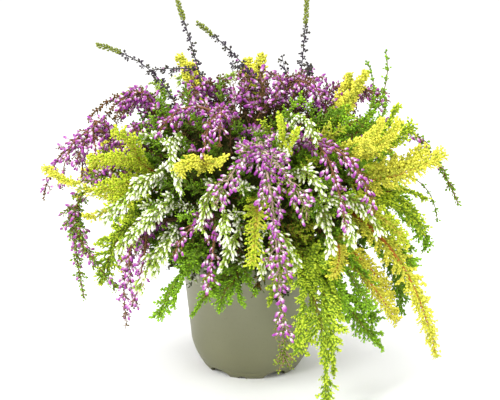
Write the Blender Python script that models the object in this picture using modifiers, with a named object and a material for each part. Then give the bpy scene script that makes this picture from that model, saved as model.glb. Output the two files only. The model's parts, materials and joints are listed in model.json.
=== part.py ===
"""Three heathers grown together in a grey-green plastic pot.

Purple and white bud heather and golden foliage heather share one pot of compost. Each
plant has a crown: a short trunk in the compost and the dense inner foliage it carries.
The long sprays stand in plain holes in the crowns. Units are millimetres until MM turns
them into metres, +Z is up, and the origin is on the ground under the middle of the pot.
"""

import math
import random

import bmesh
import bpy
import numpy as np
from mathutils import Matrix, Vector

MM = 0.001
SEED = 11
GAP = 0.3

# The pot is sold by its width across the rim, and the rest follows from that.
POT_WIDTH = 124.0
POT_HEIGHT = 106.0
POT_WALL = 1.6
POT_STEPS = 28
RIM_RADIUS = POT_WIDTH / 2
RIM_THICK = 2.4
RIM_STEP = 1.2
BODY_RADIUS = RIM_RADIUS - 1.6
BODY_TOP = POT_HEIGHT - 12.0
BODY_TAPER = 0.105
HEEL_HEIGHT = 30.0
HEEL_ROUND = 1.7
FOOT_RADIUS = 41.0
FOOT_WIDTH = 3.2
FLOOR_UNDER = 4.5
FLOOR_TOP = 7.0
FLOOR_CORNER = (3.0, 9.0)
NOTCH_HEIGHT = 5.5
NOTCH_WIDTH = 21.0
NOTCH_LENGTH = 24.0
NOTCHES = 5
FIRST_NOTCH = 11.0
DRAIN_RADIUS = 4.0
DRAIN_REACH = 24.0
SOIL_TOP = BODY_TOP - 1.0
SOIL_LUMPS = 1.6

# The crowns fill one flattened ball that is cut in three where the plants meet.
CROWN_RADIUS = 92.0
CROWN_MIDDLE = 160.0
CROWN_RISE = 70.0
CROWN_DROP = 56.0
CROWN_SEAM = 0.8
PLANTS_MEET = Vector((14.0, -30.0, 0.0))
TRUNK_DEPTH = 30.0
TRUNK_RADIUS = 5.5
CROWNS = (
    ("purple_heather_crown", 90, (0.0, 24.0)),
    ("white_heather_crown", 210, (-20.0, -36.0)),
    ("golden_heather_crown", 330, (34.0, -30.0)),
)
SPRIG_LENGTH = (28.0, 44.0)
SPRIG_FOOT = 2.6
SPRIG_FOOT_ROOM = 4.8
SPRIG_TIP_ROOM = 2.1
SPRIG_TRIES = 24
SPRIG_GAP = 1.8
SPRIG_LOOSE = 0.5
SPRIG_SHORTEST = 0.4
SEAM_MARGIN = 6.5

ROOT_DEPTH = 7.0
SOCKET_MOUTH = 9.0
BARE_START = 12.0
FORK_START = 4.0
TIP_SHARE = 0.25
CLEAR_OF_CROWN = 1.03
POT_CLEARANCE = 2.0
ITEM_WIDTH = 2.5
ITEM_UNEVEN = (0.72, 1.12)
ITEM_TWIST = 0.35
TIP_TAPER = 0.45

# How each kind of heather is built: the stem's radius at its root, the step from one
# pair of buds or leafy twigs to the next, how far they reach out and forwards, and the
# share of that reach for the pairs above and below a flat spray.
KINDS = {
    "purple": dict(stem=1.8, step=6.3, out=7.4, forward=4.6, flat=1.0),
    "white": dict(stem=1.7, step=6.2, out=6.6, forward=6.0, flat=1.0),
    "shoot": dict(stem=1.5, step=7.5, out=3.8, forward=3.2, flat=1.0),
    "golden": dict(stem=1.6, step=6.8, out=12.5, forward=8.0, flat=0.5),
    "green": dict(stem=1.5, step=6.8, out=11.5, forward=6.5, flat=0.5),
}

# Each spray: name, kind, root on the crown as azimuth and latitude in degrees, the knee
# that its stem bends towards, and its tip. A fork is where it leaves the stem, from 0 at
# the root to 1 at the tip, then its own knee and tip.
SPRAYS = (
    ("purple_front_fall", "purple", (270, 58), (14, -158, 250), (25, -150, 62),
     ((0.25, (-12, -130, 216), (-28, -142, 184)), (0.32, (30, -142, 208), (42, -146, 176)))),
    ("purple_shoot_tall_left", "shoot", (150, 62), (-50, 22, 278), (-63, 20, 318),
     ((0.35, (-62, 6, 264), (-86, 2, 262)),)),
    ("purple_shoot_tall_middle", "shoot", (60, 62), (-12, 32, 274), (-46, 12, 300),
     ((0.3, (-4, 28, 256), (-20, 36, 262)),)),
    ("purple_shoot_tall_right", "shoot", (48, 50), (45, 55, 262), (48, 55, 314),
     ((0.3, (52, 35, 256), (47, 5, 266)), (0.15, (30, 52, 246), (26, 46, 268)))),
    ("purple_shoot_wand_left", "shoot", (166, 48), (-74, 16, 268), (-130, 4, 283), ()),
    ("purple_arch_left", "purple", (180, 38), (-98, -2, 269), (-138, -12, 222),
     ((0.35, (-104, -18, 250), (-114, -24, 226)),)),
    ("purple_reach_left", "purple", (192, 28), (-162, -22, 236), (-174, -40, 160),
     ((0.45, (-135, -36, 216), (-146, -52, 192)),)),
    ("purple_hang_left", "purple", (203, 12), (-166, -55, 214), (-140, -60, 80),
     ((0.58, (-158, -72, 148), (-112, -78, 96)),)),
    ("purple_low_left", "purple", (222, -12), (-112, -82, 152), (-103, -85, 66),
     ((0.25, (-84, -98, 132), (-96, -104, 88)),)),
    ("purple_skirt", "purple", (250, -2), (-26, -125, 164), (-36, -124, 104),
     ((0.15, (-42, -118, 176), (-62, -130, 138)),)),
    ("purple_right_fall", "purple", (300, 45), (58, -110, 246), (72, -134, 164),
     ((0.35, (86, -98, 216), (96, -112, 168)),)),
    ("purple_arch_right", "purple", (35, 45), (74, 42, 268), (110, 40, 222),
     ((0.4, (98, 20, 246), (118, 18, 232)),)),
    ("purple_reach_right", "purple", (14, 26), (130, 2, 256), (177, -10, 148), ()),
    ("purple_top_front", "purple", (238, 64), (-32, -85, 260), (-38, -124, 214),
     ((0.2, (-58, -60, 256), (-76, -80, 222)),)),
    ("white_left_high", "white", (222, 22), (-82, -98, 202), (-118, -106, 160), ()),
    ("white_left_mid", "white", (230, 8), (-76, -114, 176), (-106, -120, 140), ()),
    ("white_centre_left", "white", (251, 22), (-34, -124, 192), (-40, -136, 164),
     ((0.3, (-20, -128, 184), (-20, -138, 156)),)),
    ("white_low_left", "white", (234, -14), (-72, -108, 150), (-90, -118, 108), ()),
    ("white_front", "white", (264, -4), (-8, -124, 160), (-24, -130, 130),
     ((0.3, (12, -124, 156), (8, -128, 122)), (0.15, (28, -122, 166), (34, -134, 130)))),
    ("white_top_left", "white", (226, 42), (-75, -88, 242), (-56, -122, 190), ()),
    ("white_right_high", "white", (290, 26), (44, -122, 214), (54, -130, 186), ()),
    ("white_right_mid", "white", (298, 8), (58, -120, 186), (60, -132, 144),
     ((0.3, (72, -112, 186), (78, -122, 148)), (0.12, (84, -98, 190), (100, -112, 154)))),
    ("white_top_right", "white", (306, 62), (44, -84, 250), (50, -108, 222), ()),
    ("golden_reach_left", "golden", (210, 0), (-130, -64, 166), (-166, -66, 192),
     ((0.25, (-112, -72, 156), (-134, -84, 158)),)),
    ("golden_left", "golden", (211, 18), (-103, -62, 200), (-128, -76, 202),
     ((0.3, (-92, -72, 216), (-108, -80, 226)),)),
    ("golden_front_left", "golden", (238, 30), (-47, -106, 212), (-56, -122, 204),
     ((0.3, (-20, -112, 212), (-12, -120, 222)),)),
    ("golden_front", "golden", (284, 44), (24, -98, 226), (16, -110, 250), ()),
    ("golden_tip_left", "golden", (132, 45), (-53, 48, 252), (-64, 44, 280), ()),
    ("golden_tip_top", "golden", (88, 60), (6, 58, 256), (9, 62, 278), ()),
    ("golden_tip_right", "golden", (4, 46), (92, 20, 242), (98, 20, 266), ()),
    ("golden_right_up", "golden", (322, 32), (96, -66, 210), (104, -78, 236),
     ((0.4, (94, -84, 206), (88, -98, 222)),)),
    ("golden_reach_right", "golden", (330, 15), (114, -62, 178), (152, -76, 206), ()),
    ("golden_fall_right", "golden", (322, -2), (135, -95, 148), (150, -96, 44), ()),
    ("golden_low_right", "golden", (308, -16), (88, -104, 122), (116, -102, 76),
     ((0.2, (72, -116, 138), (64, -126, 122)),)),
    ("golden_skirt", "golden", (273, 14), (4, -132, 176), (0, -142, 138), ()),
    ("green_fall_right", "green", (288, -27), (58, -130, 118), (60, -126, 14), ()),
    ("green_low_right", "green", (302, -34), (78, -94, 82), (104, -96, 52), ()),
    ("green_low_left", "green", (243, -24), (-58, -114, 122), (-74, -122, 86), ()),
    ("green_skirt", "green", (262, -30), (-14, -112, 112), (-8, -112, 94),
     ((0.35, (-34, -108, 108), (-46, -112, 86)), (0.5, (-24, -114, 106), (-26, -118, 92)))),
    ("green_hang_right", "green", (333, -15), (124, -54, 110), (124, -64, 72), ()),
    ("green_tip_right", "green", (350, 34), (122, -6, 236), (112, -2, 279), ()),
    ("green_thin_right", "green", (343, 10), (150, -24, 194), (156, -36, 140), ()),
    ("green_left", "green", (214, -10), (-113, -64, 138), (-124, -74, 132),
     ((0.5, (-118, -70, 120), (-124, -72, 100)),)),
)

# The far side, which the photograph doesn't show, is planted by this rule instead.
BACK_KINDS = ("green", "purple", "golden", "white", "purple", "green",
              "purple", "white", "golden", "purple", "white", "golden")
BACK_AZIMUTHS = (10.0, 170.0)
BACK_LATITUDES = (-10, 48, 18)
BACK_REACH = 75.0
BACK_REACH_JITTER = 14.0
BACK_DROPS = (52.0, -6.0, 34.0)
BACK_LIFTS = (14.0, 34.0, 30.0)
BACK_FORKS = ((-1, 0.3), (1, 0.45))
FORK_SPREAD = 26.0
FORK_SHORTER = 15.0
FORK_HIGHER = 20.0


def clear_scene():
    for old in list(bpy.data.objects):
        bpy.data.objects.remove(old)


def metres(point):
    return Vector(point) * MM


def make_material(name, colour, roughness):
    made = bpy.data.materials.new(name)
    made.use_nodes = True
    shader = made.node_tree.nodes["Principled BSDF"]
    shader.inputs["Base Color"].default_value = (*colour, 1.0)
    shader.inputs["Roughness"].default_value = roughness
    shader.inputs["Metallic"].default_value = 0.0
    return made


def paint(made, material):
    made.data.materials.clear()
    made.data.materials.append(material)


def add_object(name, data, collection):
    made = bpy.data.objects.new(name, data)
    collection.objects.link(made)
    return made


def add_cutter(name, data, cutters):
    made = add_object(name, data, cutters)
    made.hide_render = True
    made.display_type = "WIRE"


def mesh_from(shape, name):
    shape.normal_update()
    bmesh.ops.recalc_face_normals(shape, faces=shape.faces)
    mesh = bpy.data.meshes.new(name)
    shape.to_mesh(mesh)
    shape.free()
    return mesh


def evaluated_mesh(made):
    bpy.context.view_layer.update()
    graph = bpy.context.evaluated_depsgraph_get()
    return bpy.data.meshes.new_from_object(made.evaluated_get(graph))


def apply_modifiers(made):
    solid = evaluated_mesh(made)
    made.modifiers.clear()
    made.data = solid


def join_all(made, pieces):
    """Fuses the pieces' collection into the object, and removes the pieces."""
    join = made.modifiers.new("grown_on", "BOOLEAN")
    join.operation = "UNION"
    join.operand_type = "COLLECTION"
    join.collection = pieces
    join.solver = "MANIFOLD"
    apply_modifiers(made)
    empty_collection(pieces)


def cut_all(made, cutters):
    cut = made.modifiers.new("holes", "BOOLEAN")
    cut.operation = "DIFFERENCE"
    cut.operand_type = "COLLECTION"
    cut.collection = cutters
    cut.solver = "MANIFOLD"
    apply_modifiers(made)


def empty_collection(collection):
    for piece in list(collection.objects):
        bpy.data.objects.remove(piece)


def spin(name, profile, steps, collection):
    """A turned body from a profile of radius and height, which runs down its outer side."""
    mesh = bpy.data.meshes.new(name)
    corners = [metres((radius, 0, height)) for radius, height in profile]
    mesh.from_pydata(corners, [(i, i + 1) for i in range(len(corners) - 1)], [])
    made = add_object(name, mesh, collection)
    screw = made.modifiers.new("turned", "SCREW")
    screw.steps = steps
    screw.render_steps = steps
    screw.use_merge_vertices = True
    screw.merge_threshold = 0.00005
    screw.use_normal_calculate = True
    apply_modifiers(made)
    return made


def wall_radius(height):
    """The pot's outer radius at a height: a straight body over a rounded heel."""
    straight = BODY_RADIUS - (BODY_TOP - max(height, HEEL_HEIGHT)) * BODY_TAPER
    share = max(0.0, 1.0 - height / HEEL_HEIGHT)
    return straight - (straight - FOOT_RADIUS) * share ** HEEL_ROUND


def pot_profile():
    outer = [(wall_radius(z), z) for z in (BODY_TOP, HEEL_HEIGHT, 18.0, 8.0, 0.0)]
    inner = [(wall_radius(z) - POT_WALL, z) for z in (18.0, HEEL_HEIGHT, BODY_TOP)]
    corner, corner_top = FLOOR_CORNER
    inner_corner = wall_radius(corner_top) - POT_WALL
    foot_inner = FOOT_RADIUS - FOOT_WIDTH
    return (
        [(0.0, FLOOR_TOP), (inner_corner - corner, FLOOR_TOP), (inner_corner, corner_top)]
        + inner
        + [
            (RIM_RADIUS - RIM_THICK, POT_HEIGHT),
            (RIM_RADIUS - 0.4, POT_HEIGHT),
            (RIM_RADIUS, POT_HEIGHT - 1.4),
            (RIM_RADIUS - 0.7, BODY_TOP + RIM_STEP),
        ]
        + outer
        + [(foot_inner, 0.0), (foot_inner - 1.0, FLOOR_UNDER), (0.0, FLOOR_UNDER)]
    )


def round_cutter(radius, depth, segments, middle):
    """An upright round cutter about a point."""
    shape = bmesh.new()
    bmesh.ops.create_cone(shape, cap_ends=True, segments=segments, radius1=radius * MM,
                          radius2=radius * MM, depth=depth * MM)
    shape.transform(Matrix.Translation(metres(middle)))
    return mesh_from(shape, "round_cutter")


def build_pot(parts, cutters):
    """The moulded pot, with arched notches that part its foot ring, and a drain by each foot."""
    pot = spin("pot", pot_profile(), POT_STEPS, parts)
    between_notches = 2 * math.pi / NOTCHES
    for i in range(NOTCHES):
        angle = math.radians(FIRST_NOTCH) + i * between_notches
        arch = bmesh.new()
        bmesh.ops.create_cone(arch, cap_ends=True, segments=10, radius1=1, radius2=1, depth=1)
        turn = Matrix.Rotation(angle, 4, "Z") @ Matrix.Rotation(math.pi / 2, 4, "Y")
        size = Vector((NOTCH_HEIGHT, NOTCH_WIDTH / 2, NOTCH_LENGTH)) * MM
        slide = Matrix.Translation((0, 0, FOOT_RADIUS * MM))
        arch.transform(turn @ slide @ Matrix.Diagonal((*size, 1)))
        add_cutter(f"notch_{i + 1}", mesh_from(arch, "notch"), cutters)
        by_foot = angle + between_notches / 2
        middle = (DRAIN_REACH * math.cos(by_foot), DRAIN_REACH * math.sin(by_foot), FLOOR_TOP)
        drain = round_cutter(DRAIN_RADIUS, FLOOR_TOP, 8, middle)
        add_cutter(f"drain_{i + 1}", drain, cutters)
    cut_all(pot, cutters)
    empty_collection(cutters)
    pot.data.shade_smooth()
    pot.data.set_sharp_from_angle(angle=math.radians(40))
    return pot


def build_soil(parts, cutters):
    """Compost that fills the pot to under the rim, with a hole for each trunk."""
    corner, corner_top = FLOOR_CORNER
    inset = POT_WALL + GAP
    profile = [(0.0, SOIL_TOP), (20.0, SOIL_TOP), (42.0, SOIL_TOP)]
    profile += [(wall_radius(z) - inset, z) for z in (SOIL_TOP - 2.0, HEEL_HEIGHT, corner_top + 1)]
    profile += [(wall_radius(corner_top) - inset - corner, FLOOR_TOP + GAP)]
    soil = spin("compost", profile + [(0.0, FLOOR_TOP + GAP)], POT_STEPS, parts)
    for vertex in soil.data.vertices:
        x, y, z = vertex.co / MM
        if z > SOIL_TOP - 0.5:
            lump = math.sin(0.23 * x + 1.0) * math.sin(0.31 * y + 0.4)
            vertex.co.z += SOIL_LUMPS * lump * MM
    for name, _, spot in CROWNS:
        hole = round_cutter(TRUNK_RADIUS + 3 * GAP, (TRUNK_DEPTH + GAP) * 2, 8, (*spot, SOIL_TOP))
        add_cutter(f"hole_{name}", hole, cutters)
    cut_all(soil, cutters)
    empty_collection(cutters)
    return soil


def crown_height(latitude_share):
    return (CROWN_RISE if latitude_share > 0 else CROWN_DROP) * latitude_share


def on_crown(azimuth, latitude):
    """The point of the crowns' ball at this azimuth and latitude in degrees."""
    a, b = math.radians(azimuth), math.radians(latitude)
    flat = CROWN_RADIUS * math.cos(b)
    return Vector((flat * math.cos(a), flat * math.sin(a), CROWN_MIDDLE + crown_height(math.sin(b))))


def crown_level(point):
    """1 on the crowns' ball, more outside it."""
    rise = point[2] - CROWN_MIDDLE
    half = CROWN_RISE if rise > 0 else CROWN_DROP
    return math.sqrt((point[0] ** 2 + point[1] ** 2) / CROWN_RADIUS ** 2 + (rise / half) ** 2)


def crown_normal(point):
    rise = point.z - CROWN_MIDDLE
    half = CROWN_RISE if rise > 0 else CROWN_DROP
    out = Vector((point.x / CROWN_RADIUS ** 2, point.y / CROWN_RADIUS ** 2, rise / half ** 2))
    return out.normalized()


def bend(start, knee, tip, share):
    """A point of the quadratic curve that leaves start towards the knee and ends at the tip."""
    rest = 1.0 - share
    return start * rest * rest + knee * 2 * share * rest + tip * share * share


def stem_route(start, knee, tip, step, bare, rooted):
    """Points along a stem, a step apart. A rooted one begins below the crown's surface."""
    fine = [bend(start, knee, tip, i / 60) for i in range(61)]
    reached = np.cumsum([0.0] + [(b - a).length for a, b in zip(fine, fine[1:])])
    count = max(3, round((reached[-1] - bare) / step))
    wanted = [0.0] + list(np.linspace(bare, reached[-1], count + 1))
    shares = np.interp(wanted, reached, np.linspace(0.0, 1.0, 61))
    points = [bend(start, knee, tip, share) for share in shares]
    if rooted:
        points.insert(0, start - (knee - start).normalized() * ROOT_DEPTH)
    return points


def back_sprays():
    """Sprays of the far side, evenly round it, each with two forks."""
    draw = random.Random(SEED)
    low, high = BACK_AZIMUTHS
    made = []
    for i, kind in enumerate(BACK_KINDS):
        azimuth = low + (high - low) * i / (len(BACK_KINDS) - 1)
        latitude = BACK_LATITUDES[i % len(BACK_LATITUDES)]
        reach = BACK_REACH + draw.uniform(-BACK_REACH_JITTER, 0.0)
        root = on_crown(azimuth, latitude)
        out = Vector((math.cos(math.radians(azimuth)), math.sin(math.radians(azimuth)), 0))
        side = Vector((-out.y, out.x, 0))
        up = Vector((0, 0, 1))
        knee = root + out * reach * 0.7 + up * BACK_LIFTS[i % len(BACK_LIFTS)]
        tip = root + out * reach - up * BACK_DROPS[i % len(BACK_DROPS)]
        forks = []
        for way, share in BACK_FORKS:
            spread = side * way * FORK_SPREAD
            forks.append((share, knee + spread * 0.7 - out * FORK_SHORTER,
                          tip + spread - out * FORK_SHORTER + up * FORK_HIGHER))
        made.append((f"{kind}_back_{i + 1:02d}", kind, (azimuth, latitude), knee, tip, forks))
    return made


def capsule_gaps(start, end, radius, others):
    """The clear distance from one capsule to each of the others, by points along it."""
    share = np.linspace(0.0, 1.0, 9)[:, None]
    mine = np.asarray(start) * (1 - share) + np.asarray(end) * share
    a, b, r = others[:, None, 0:3], others[:, None, 3:6], others[:, 6]
    along = b - a
    square = np.maximum((along ** 2).sum(-1), 1e-9)
    t = np.clip((((mine[None] - a) * along).sum(-1)) / square, 0.0, 1.0)
    near = a + along * t[..., None]
    gap = np.sqrt(((mine[None] - near) ** 2).sum(-1)).min(1)
    return gap - r - radius


class Room:
    """What every node already takes up, as capsules, so that later pieces stay clear."""

    def __init__(self):
        self.rows = []
        self.owners = []

    def add(self, owner, start, end, radius):
        self.rows.append((*start, *end, radius))
        self.owners.append(owner)

    def clear(self, owner, start, end, radius, margin):
        rows = np.array(self.rows)
        others = rows[np.array([o != owner for o in self.owners])]
        return capsule_gaps(start, end, radius, others).min() > margin


def stand_clear_of_pot(point, radius):
    """True where a piece of this radius doesn't touch the pot or the ground."""
    above = point.z - radius - POT_CLEARANCE
    beside = math.hypot(point.x, point.y) - radius - POT_CLEARANCE
    return above > 0.0 and (above > POT_HEIGHT or beside > RIM_RADIUS)


def tube(name, points, root_radius, tip_radius, collection, roundness=0):
    """A tapering stem with flat ends, as one closed mesh. Its rings follow the points."""
    curve = bpy.data.curves.new(name, "CURVE")
    curve.dimensions = "3D"
    curve.bevel_depth = MM
    curve.bevel_resolution = roundness
    curve.use_fill_caps = True
    spline = curve.splines.new("POLY")
    spline.points.add(len(points) - 1)
    for i, (spot, point) in enumerate(zip(spline.points, points)):
        spot.co = (*metres(point), 1.0)
        spot.radius = root_radius + (tip_radius - root_radius) * i / (len(points) - 1)
    guide = add_object(name, curve, collection)
    mesh = evaluated_mesh(guide)
    bpy.data.objects.remove(guide)
    shape = bmesh.new()
    shape.from_mesh(mesh)
    bmesh.ops.remove_doubles(shape, verts=shape.verts, dist=0.00001)
    shape.verts.ensure_lookup_table()
    return shape


def raise_items(shape, points, kind, name, room):
    """Pulls every second corner of a stem's rings out into a bud or a leafy twig.

    The corners that stay between them are the feet of the four faces of each one, so
    that pairs follow each other crosswise up the stem, as heather's buds do.
    """
    facts = KINDS[kind]
    last = len(points) - 1
    side = (points[-1] - points[0]).cross(Vector((0, 0, 1)))
    side = side.normalized() if side.length > 1.0 else Vector((1, 0, 0))
    draw = random.Random(name)
    for vertex in shape.verts:
        at = vertex.co / MM
        ring = min(range(len(points)), key=lambda i: (points[i] - at).length)
        if ring < 2 or ring == last:
            continue
        out = (at - points[ring]).normalized()
        along = (points[ring + 1] - points[ring - 1]).normalized()
        sideways = abs(out.dot(side)) > 0.75
        if sideways != (ring % 2 == 0):
            continue
        size = (1.0 if sideways else facts["flat"]) * (1.0 - TIP_TAPER * ring / last)
        size *= draw.uniform(*ITEM_UNEVEN)
        twist = along.cross(out) * draw.uniform(-ITEM_TWIST, ITEM_TWIST)
        reach = (out + twist) * facts["out"] + along * facts["forward"]
        for shorter in (1.0, 0.65):
            end = at + reach * size * shorter
            if crown_level(end) < CLEAR_OF_CROWN or not stand_clear_of_pot(end, ITEM_WIDTH):
                continue
            if room.clear(name, at, end, ITEM_WIDTH, GAP):
                room.add(name, at, end, ITEM_WIDTH)
                vertex.co = metres(end)
                break


def dressed_stem(points, root_radius, tip_radius, kind, name, room, collection):
    shape = tube(name, points, root_radius, tip_radius, collection)
    raise_items(shape, points, kind, name, room)
    bmesh.ops.triangulate(shape, faces=shape.faces, quad_method="SHORT_EDGE")
    return mesh_from(shape, name)


def facing(start, end):
    """The turn and place that stand a +Z piece at start, pointing to end."""
    turn = (end - start).to_track_quat("Z", "X").to_matrix().to_4x4()
    return Matrix.Translation(metres(start)) @ turn


def spray_stems(spray):
    """Each stem of a spray: its points and its radius at the root."""
    _, kind, (azimuth, latitude), knee, tip, forks = spray
    root, knee, tip = on_crown(azimuth, latitude), Vector(knee), Vector(tip)
    thick, step = KINDS[kind]["stem"], KINDS[kind]["step"]
    stems = [(stem_route(root, knee, tip, step, BARE_START, True), thick)]
    for share, fork_knee, fork_tip in forks:
        start = bend(root, knee, tip, share)
        route = stem_route(start, Vector(fork_knee), Vector(fork_tip), step, FORK_START, False)
        stems.append((route, thick * 0.8))
    return stems


def build_spray(spray, room, parts, pieces, cutters):
    name, kind, *_ = spray
    stems = spray_stems(spray)
    thick = KINDS[kind]["stem"]
    for k, (route, radius) in enumerate(stems):
        mesh = dressed_stem(route, radius, thick * TIP_SHARE, kind, name, room, pieces)
        add_object(name if k == 0 else f"fork_{k}", mesh, parts if k == 0 else pieces)
    made = parts.objects[name]
    if len(stems) > 1:
        join_all(made, pieces)
    points = stems[0][0]
    hole = bmesh.new()
    root, way = points[1], (points[1] - points[0]).normalized()
    wide = (thick + GAP) * math.sqrt(2) * MM
    deep = ROOT_DEPTH + GAP + SOCKET_MOUTH
    bmesh.ops.create_cone(hole, cap_ends=True, segments=4, radius1=wide, radius2=wide,
                          depth=deep * MM)
    foot = points[0] - way * GAP
    hole.transform(facing(foot, root) @ Matrix.Translation((0, 0, deep / 2 * MM)))
    add_cutter(f"socket_{name}", mesh_from(hole, "socket"), cutters)
    return made


def seams(middle):
    """The two upright planes that bound a plant's third, as directions into it."""
    for side in (-60, 60):
        angle = math.radians(middle + side)
        edge = Vector((math.cos(angle), math.sin(angle), 0))
        yield Vector((-edge.y, edge.x, 0)) * (1 if side < 0 else -1)


def crown_ball():
    """The crowns' ball with shallow hollows, before it is cut in three."""
    ball = bmesh.new()
    bmesh.ops.create_icosphere(ball, subdivisions=3, radius=1.0)
    for vertex in ball.verts:
        x, y, z = vertex.co
        lump = 0.985 + 0.015 * math.sin(5 * x + 2) * math.sin(6 * y) * math.cos(4 * z)
        vertex.co = metres((x * CROWN_RADIUS * lump, y * CROWN_RADIUS * lump,
                            CROWN_MIDDLE + crown_height(z) * lump))
    return ball


def sprig_fits(root, end, name, room):
    """Takes room for a sprig, as a wide foot and a slim tip, if nothing is in its way."""
    for part in range(1, 7):
        if not stand_clear_of_pot(root.lerp(end, part / 6), SPRIG_FOOT_ROOM):
            return False
    half = root.lerp(end, 0.4)
    stretches = ((root, half, SPRIG_FOOT_ROOM), (half, end, SPRIG_TIP_ROOM))
    if not all(room.clear(name, *stretch, SPRIG_GAP) for stretch in stretches):
        return False
    for stretch in stretches:
        room.add(name, *stretch)
    return True


def raise_sprigs(ball, middle, name, room):
    """Raises a slim leafy sprig from the middle of each of the ball's faces."""
    draw = random.Random(SEED + middle)
    for face in list(ball.faces):
        root = face.calc_center_median() / MM
        if any((root - PLANTS_MEET).dot(inward) < SEAM_MARGIN for inward in seams(middle)):
            continue
        corner = (face.verts[0].co / MM - root).length
        for trial in range(SPRIG_TRIES):
            loose = [draw.uniform(-SPRIG_LOOSE, SPRIG_LOOSE) for _ in range(3)]
            way = (crown_normal(root) + Vector(loose)).normalized()
            shorter = 1.0 - (1.0 - SPRIG_SHORTEST) * trial / SPRIG_TRIES
            end = root + way * draw.uniform(*SPRIG_LENGTH) * shorter
            if sprig_fits(root, end, name, room):
                bmesh.ops.inset_individual(
                    ball, faces=[face], thickness=(corner / 2 - SPRIG_FOOT) * MM)
                poked = bmesh.ops.poke(ball, faces=[face])
                poked["verts"][0].co = metres(end)
                break


def build_crown(name, middle, spot, room, parts, pieces, cutters):
    ball = crown_ball()
    raise_sprigs(ball, middle, name, room)
    for inward in seams(middle):
        cut = bmesh.ops.bisect_plane(
            ball, geom=ball.verts[:] + ball.edges[:] + ball.faces[:],
            plane_co=metres(PLANTS_MEET + inward * CROWN_SEAM / 2), plane_no=inward,
            clear_inner=True)
        rim = [g for g in cut["geom_cut"] if isinstance(g, bmesh.types.BMEdge)]
        bmesh.ops.contextual_create(ball, geom=rim)
    bmesh.ops.triangulate(ball, faces=ball.faces)
    made = add_object(name, mesh_from(ball, name), parts)
    heights = (SOIL_TOP - TRUNK_DEPTH, SOIL_TOP + 4.0, CROWN_MIDDLE - 30.0)
    trunk = [Vector((*spot, height)) for height in heights]
    shape = tube("trunk", trunk, TRUNK_RADIUS - 1, TRUNK_RADIUS + 1, pieces, 2)
    add_object("trunk", mesh_from(shape, "trunk"), pieces)
    join_all(made, pieces)
    cut_all(made, cutters)
    return made


def main():
    clear_scene()
    scene = bpy.context.scene.collection
    parts = bpy.data.collections.new("potted_heather")
    pieces = bpy.data.collections.new("pieces_to_join")
    cutters = bpy.data.collections.new("cutters")
    for collection in (parts, pieces, cutters):
        scene.children.link(collection)

    finish = {
        "pot": make_material("sage_plastic", (0.33, 0.33, 0.24), 0.42),
        "soil": make_material("peat_compost", (0.06, 0.04, 0.025), 0.95),
        "purple": make_material("purple_buds", (0.45, 0.08, 0.42), 0.5),
        "shoot": make_material("dark_shoots", (0.16, 0.07, 0.12), 0.6),
        "white": make_material("white_buds", (0.85, 0.87, 0.74), 0.5),
        "golden": make_material("golden_foliage", (0.62, 0.62, 0.04), 0.55),
        "green": make_material("green_foliage", (0.22, 0.42, 0.03), 0.55),
        "purple_crown": make_material("olive_foliage", (0.06, 0.10, 0.03), 0.6),
        "white_crown": make_material("lime_foliage", (0.16, 0.32, 0.03), 0.6),
        "golden_crown": make_material("gold_green_foliage", (0.26, 0.38, 0.03), 0.6),
    }
    paint(build_pot(parts, cutters), finish["pot"])
    paint(build_soil(parts, cutters), finish["soil"])

    sprays = [*SPRAYS, *back_sprays()]
    room = Room()
    for spray in sprays:
        for route, thick in spray_stems(spray):
            for a, b in zip(route, route[1:]):
                room.add(spray[0], a, b, thick)
    for spray in sprays:
        made = build_spray(spray, room, parts, pieces, cutters)
        paint(made, finish[spray[1]])
    for name, middle, spot in CROWNS:
        crown = build_crown(name, middle, spot, room, parts, pieces, cutters)
        paint(crown, finish[name.split("_")[0] + "_crown"])
    empty_collection(cutters)
    for unused in (pieces, cutters):
        bpy.data.collections.remove(unused)


main()
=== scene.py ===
"""The looks of three heathers grown together in a grey-green plastic pot.

Sizes are millimetres until MM turns them into metres. The pieces follow in the order in
which the plant is potted: pot, compost, crowns, then the long sprays of each colour.
"""

import json
import math
import random

import bmesh
import bpy
from mathutils import Matrix, Vector

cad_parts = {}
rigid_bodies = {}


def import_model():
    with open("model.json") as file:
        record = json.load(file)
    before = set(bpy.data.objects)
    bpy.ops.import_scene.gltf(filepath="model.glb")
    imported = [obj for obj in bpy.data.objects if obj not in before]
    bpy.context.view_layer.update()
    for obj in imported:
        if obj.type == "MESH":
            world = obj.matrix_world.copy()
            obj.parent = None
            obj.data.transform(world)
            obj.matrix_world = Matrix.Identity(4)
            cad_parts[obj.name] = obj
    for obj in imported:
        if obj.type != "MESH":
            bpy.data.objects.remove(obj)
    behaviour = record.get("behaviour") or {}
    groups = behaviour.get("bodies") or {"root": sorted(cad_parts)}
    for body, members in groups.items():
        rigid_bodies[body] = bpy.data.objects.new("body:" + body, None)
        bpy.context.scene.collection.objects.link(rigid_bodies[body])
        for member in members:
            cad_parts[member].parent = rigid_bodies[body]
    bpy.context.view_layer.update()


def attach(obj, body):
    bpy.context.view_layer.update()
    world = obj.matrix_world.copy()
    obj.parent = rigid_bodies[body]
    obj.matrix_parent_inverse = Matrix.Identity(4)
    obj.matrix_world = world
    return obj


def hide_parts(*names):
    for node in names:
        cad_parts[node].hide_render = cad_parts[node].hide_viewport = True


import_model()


# The pot is one thin moulding of matt grey-green plastic. It is turned from a profile with a
# rolled lip, a band under it and a rounded heel. Arches part its foot ring, and a hole by
# each foot drains its floor.

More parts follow.
